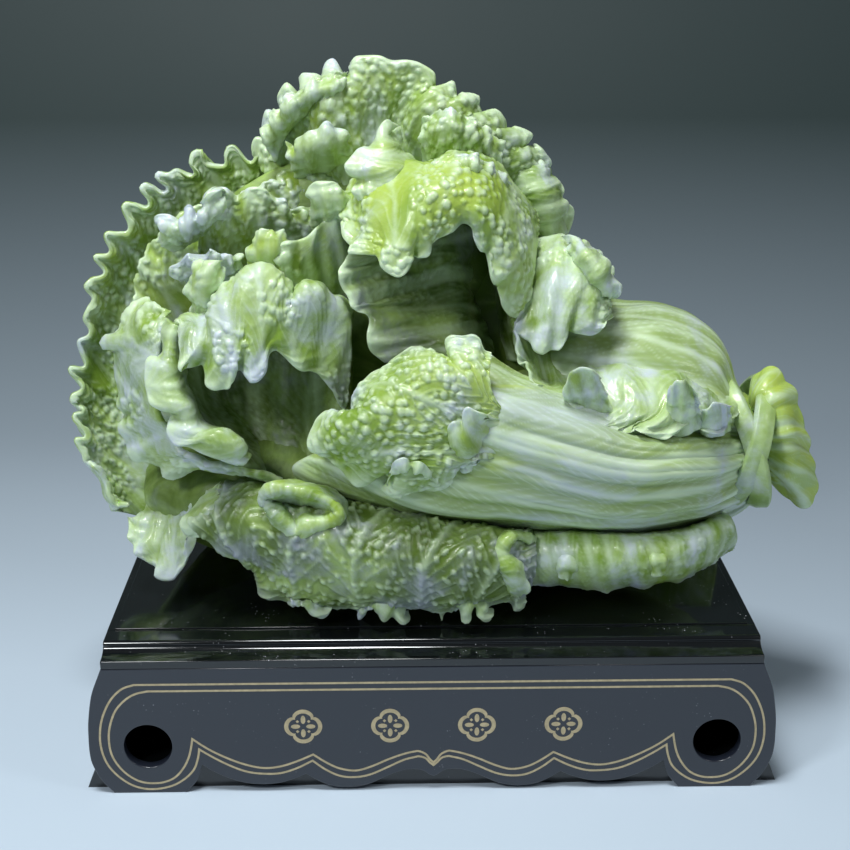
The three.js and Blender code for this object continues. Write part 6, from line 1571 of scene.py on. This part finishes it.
PLATFORM_HALF_LENGTH = 0.1725
FIELD_HALF_LENGTH = 0.1685
PANEL_FRONTS = {"front": -0.085, "back": 0.079}
PANEL_THICKNESS = 0.006
END_HALF_DEPTH = 0.0788
END_THICKNESS = 0.009
BASE_TOP = 0.0141
LINE_FRONT = -0.08508
ORNAMENT_FRONT, ORNAMENT_BACK = -0.08512, -0.0849

CAMERA_PLACE = (-0.0185, -0.782, 0.4415)
CAMERA_DIP = math.atan(507 / 1500)
CAMERA_TURN = math.radians(1.15)
CAMERA_LENS = 63.5
SENSOR_WIDTH = 36

# Each lamp: its place, what it points at, its width and its power in watts
LAMPS = {
    "left_lamp": ((-0.85, -0.95, 1.15), (0.0, 0.0, 0.17), 0.3, 9.0),
    "right_lamp": ((1.0, -0.6, 1.05), (0.0, 0.0, 0.15), 0.3, 2.6),
    "top_lamp": ((-0.2, -0.34, 1.5), (0.0, 0.0, 0.2), 0.4, 17.5),
}
LAMP_COLOUR = (0.95, 0.99, 1.0)
ROOM_COLOUR = (0.80, 0.90, 1.0, 1)
ROOM_STRENGTH = 0.10


# Operators

class CABBAGE_OT_stage(bpy.types.Operator):
    """Table top, backdrop, lamps and camera"""
    bl_idname = "cabbage.stage"
    bl_label = "Stage"

    def execute(self, context):
        bm = bmesh.new()
        bmesh.ops.create_grid(bm, x_segments=8, y_segments=120, size=1)
        floor = mesh_from(bm, "floor")
        spots = vertex_places(floor)
        run = (spots[:, 1] + 1) * 2.4
        bend, start = 0.6, 2.1
        turn = np.clip((run - start) / bend, 0, math.pi / 2)
        beyond = np.maximum(run - start - bend * math.pi / 2, 0)
        y = -1.6 + np.minimum(run, start) + bend * np.sin(turn)
        z = bend * (1 - np.cos(turn)) + beyond
        move_vertices(floor, np.column_stack([spots[:, 0] * 4, y, z]))
        holder = bpy.data.objects.new("floor", floor)
        context.scene.collection.objects.link(holder)
        floor.shade_smooth()
        floor.materials.append(floor_finish())
        for name, settings in LAMPS.items():
            self.light(context, name, *settings)
        world = bpy.data.worlds.new("room_light")
        world.use_nodes = True
        room = world.node_tree.nodes["Background"]
        room.inputs["Color"].default_value = ROOM_COLOUR
        room.inputs["Strength"].default_value = ROOM_STRENGTH
        context.scene.world = world
        context.scene.view_settings.view_transform = "Standard"
        lens = bpy.data.cameras.new("camera")
        lens.lens = CAMERA_LENS
        lens.sensor_width = SENSOR_WIDTH
        camera = bpy.data.objects.new("camera", lens)
        camera.location = CAMERA_PLACE
        camera.rotation_euler = (math.pi / 2 - CAMERA_DIP, 0, -CAMERA_TURN)
        context.scene.collection.objects.link(camera)
        context.scene.camera = camera
        return {"FINISHED"}

    def light(self, context, name, place, target, size, power):
        lamp = bpy.data.lights.new(name, "AREA")
        lamp.energy = power
        lamp.color = LAMP_COLOUR
        lamp.size = size
        holder = bpy.data.objects.new(name, lamp)
        holder.location = place
        way = Vector(target) - Vector(place)
        holder.rotation_euler = way.to_track_quat("-Z", "Y").to_euler()
        context.scene.collection.objects.link(holder)


class CABBAGE_OT_platform(bpy.types.Operator):
    """The platform's moulded board and the raised field on it"""
    bl_idname = "cabbage.platform"
    bl_label = "Platform"

    def execute(self, context):
        reach = PLATFORM_HALF_LENGTH
        board_mesh = extruded_along_x("platform_moulding", platform_section(), -reach, reach, 0.0006)
        piece("platform_moulding", board_mesh, "stand", black_lacquer_finish(),
              ["platform_board"], smooth_faces=False)
        section = [(0.0608, 0.0838), (0.0608, 0.0850), (-0.0608, 0.0850), (-0.0608, 0.0838)]
        field = extruded_along_x("platform_field", section, -FIELD_HALF_LENGTH, FIELD_HALF_LENGTH, 0.0005)
        piece("platform_field", field, "stand", black_lacquer_finish(), smooth_faces=False)
        return {"FINISHED"}


class CABBAGE_OT_panels(bpy.types.Operator):
    """The front and back scroll panels and the curved end boards between them"""
    bl_idname = "cabbage.panels"
    bl_label = "Panels and ends"

    def execute(self, context):
        sizes = stand()
        eye_x = sizes.bulge_width / 2 - sizes.scroll_radius
        outline = both_halves(half_line(PANEL_RUNS))
        eyes = [circle(side * eye_x, sizes.scroll_height, sizes.eye_radius) for side in (-1, 1)]
        for name, front in PANEL_FRONTS.items():
            board(f"{name}_scroll_panel", [outline, *eyes], front, front + PANEL_THICKNESS, sizes.edge_round,
                  "stand", dark_lacquer_painted_blue_finish(), [f"{name}_panel"])
        edge = half_line(PANEL_RUNS[3:])
        edge = edge[edge[:, 1] > BASE_TOP]
        for name, side in (("left", -1), ("right", 1)):
            line = np.concatenate([edge, (edge - (END_THICKNESS, 0))[::-1]]) * (side, 1)
            board(f"{name}_curved_end", [line], -END_HALF_DEPTH, END_HALF_DEPTH, 0.0004,
                  "stand", dark_lacquer_painted_blue_finish(), [f"{name}_end_board"])
        return {"FINISHED"}


class CABBAGE_OT_gold(bpy.types.Operator):
    """The double line inlaid round the front panel and its four small ornaments"""
    bl_idname = "cabbage.gold"
    bl_label = "Gold lines and ornaments"

    def execute(self, context):
        sizes = stand()
        for name, runs in (("outer_gold_line", OUTER_LINE_RUNS), ("inner_gold_line", INNER_LINE_RUNS)):
            line = both_halves(half_line(runs, 5))
            inlaid_line(name, line, sizes.line_width, LINE_FRONT, gold_finish())
        for index in range(4):
            x = (index - 1.5) * sizes.ornament_spacing
            board(f"ornament_{index + 1}", ornament_outlines(x, sizes.ornament_height, sizes.ornament_size),
                  ORNAMENT_FRONT, ORNAMENT_BACK, 0.00002, "stand", gold_finish())
        return {"FINISHED"}


class CABBAGE_OT_framing(bpy.types.Operator):
    """Finishes for the base board, ribs, battens and screws, whose shapes stay as they are"""
    bl_idname = "cabbage.framing"
    bl_label = "Base, framing and screws"

    def execute(self, context):
        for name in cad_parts:
            if name.startswith(("base_board", "left_rib", "right_rib")) or "batten" in name or "screw" in name:
                finish = black_lacquer_finish() if name == "base_board" else wood_finish()
                if "screw" in name:
                    finish = steel_finish()
                node = bpy.data.objects[name]
                node.data.materials.clear()
                node.data.materials.append(finish)
        return {"FINISHED"}


class CABBAGE_OT_cores(bpy.types.Operator):
    """The solid stone inside the head, the stem and the neck"""
    bl_idname = "cabbage.cores"
    bl_label = "Cores"

    def execute(self, context):
        for index, (name, (middle, half)) in enumerate(CORES.items()):
            # The head's cores take the jade with painted shade, dark as the shade between the leaves; the stem and neck
            # cores take the stem's finish.
            finish = stem_finish() if name in ("stem_core", "neck_core") else painted_shade_jade_finish()
            lumpy_core(name, middle, half, 300 + index, finish)
        return {"FINISHED"}


def sunk(net):
    """A net whose root and sides sink into the stone behind it."""
    net = np.array(net, float)
    net[0, :, 2] += 0.03
    net[:, 0, 2] += 0.022
    net[:, -1, 2] += 0.022
    return net


def carve(group, finish=None, nets=LEAF_NETS, common=None):
    """Carves every leaf of a group, each with what it differs in over what is common to them."""
    for name, settings in group.items():
        # Leaves in the hollows and the lowest leaf take the jade with painted shade.
        stone_finish = painted_shade_jade_finish() if name in PAINTED_SHADE_LEAVES else finish
        net = sunk(nets[name]) if nets is SMALL_NETS else nets[name]
        leaf(name, net, traces=LEAF_TRACES.get(name), finish=stone_finish, **{**(common or {}), **settings})


class CABBAGE_OT_upper_leaves(bpy.types.Operator):
    """The leaves of the head, its crown and its hollows"""
    bl_idname = "cabbage.upper_leaves"
    bl_label = "Upper leaves"

    def execute(self, context):
        carve(UPPER_LEAVES)
        return {"FINISHED"}


class CABBAGE_OT_lower_leaves(bpy.types.Operator):
    """The front leaf and the leaves along the bottom"""
    bl_idname = "cabbage.lower_leaves"
    bl_label = "Lower leaves"

    def execute(self, context):
        carve(LOWER_LEAVES)
        return {"FINISHED"}


class CABBAGE_OT_rear_leaves(bpy.types.Operator):
    """The leaves that wrap the back"""
    bl_idname = "cabbage.rear_leaves"
    bl_label = "Rear leaves"

    def execute(self, context):
        carve(REAR_LEAVES)
        return {"FINISHED"}


class CABBAGE_OT_small_leaves(bpy.types.Operator):
    """The curls, lobes and frills between the large leaves"""
    bl_idname = "cabbage.small_leaves"
    bl_label = "Small leaves"

    def execute(self, context):
        carve(SMALL_LEAVES, nets=SMALL_NETS, common=SMALL_LEAF)
        return {"FINISHED"}


class CABBAGE_OT_stem(bpy.types.Operator):
    """The ribbed stem"""
    bl_idname = "cabbage.stem"
    bl_label = "Stem"

    def execute(self, context):
        carve(STEMS, stem_finish())
        return {"FINISHED"}


class CABBAGE_OT_tie_and_roots(bpy.types.Operator):
    """The crossed bands round the neck and the fan of roots"""
    bl_idname = "cabbage.tie_and_roots"
    bl_label = "Tie and roots"

    def execute(self, context):
        tie_band("tie_band_1", 0.34, 0.3)
        tie_band("tie_band_2", -0.34, 2.1)
        count = carving().root_count
        for index, (name, net) in enumerate(ROOTS.items()):
            leaf(name, net, ruffle=0, lobe=0, blisters=0, puff=0, vein_height=0, ribs=0.0021, rib_count=count,
                 scallop=0.0024, thickness=0.004, finish=root_finish(), seed=400 + index, step=0.0007,
                 towards=(0, 1 if index else -1, 0),
                 free_sides=("start", "end"))
        return {"FINISHED"}


STEPS = (
    CABBAGE_OT_stage,
    CABBAGE_OT_platform,
    CABBAGE_OT_panels,
    CABBAGE_OT_gold,
    CABBAGE_OT_framing,
    CABBAGE_OT_cores,
    CABBAGE_OT_upper_leaves,
    CABBAGE_OT_lower_leaves,
    CABBAGE_OT_rear_leaves,
    CABBAGE_OT_small_leaves,
    CABBAGE_OT_stem,
    CABBAGE_OT_tie_and_roots,
)


class CABBAGE_PT_steps(bpy.types.Panel):
    """The steps that build the cabbage and its stand, in order"""
    bl_label = "Jade cabbage"
    bl_space_type = "VIEW_3D"
    bl_region_type = "UI"
    bl_category = "Cabbage"

    def draw(self, context):
        for step in STEPS:
            self.layout.operator(step.bl_idname)
        for sizes in (stand(), carving(), finishes()):
            box = self.layout.box()
            for key in sizes.bl_rna.properties.keys():
                if key not in ("rna_type", "name"):
                    box.prop(sizes, key)


GROUPS = {"cabbage_stand": StandSizes, "cabbage_carving": CarvingSizes, "cabbage_finishes": Finishes}


def register():
    for kind in (*GROUPS.values(), *STEPS, CABBAGE_PT_steps):
        bpy.utils.register_class(kind)
    for name, kind in GROUPS.items():
        setattr(bpy.types.Scene, name, PointerProperty(type=kind))


def unregister():
    for name in GROUPS:
        delattr(bpy.types.Scene, name)
    for kind in reversed((*GROUPS.values(), *STEPS, CABBAGE_PT_steps)):
        bpy.utils.unregister_class(kind)


def main():
    register()
    for step in STEPS:
        group, name = step.bl_idname.split(".")
        getattr(getattr(bpy.ops, group), name)()


if __name__ == "__main__":
    main()
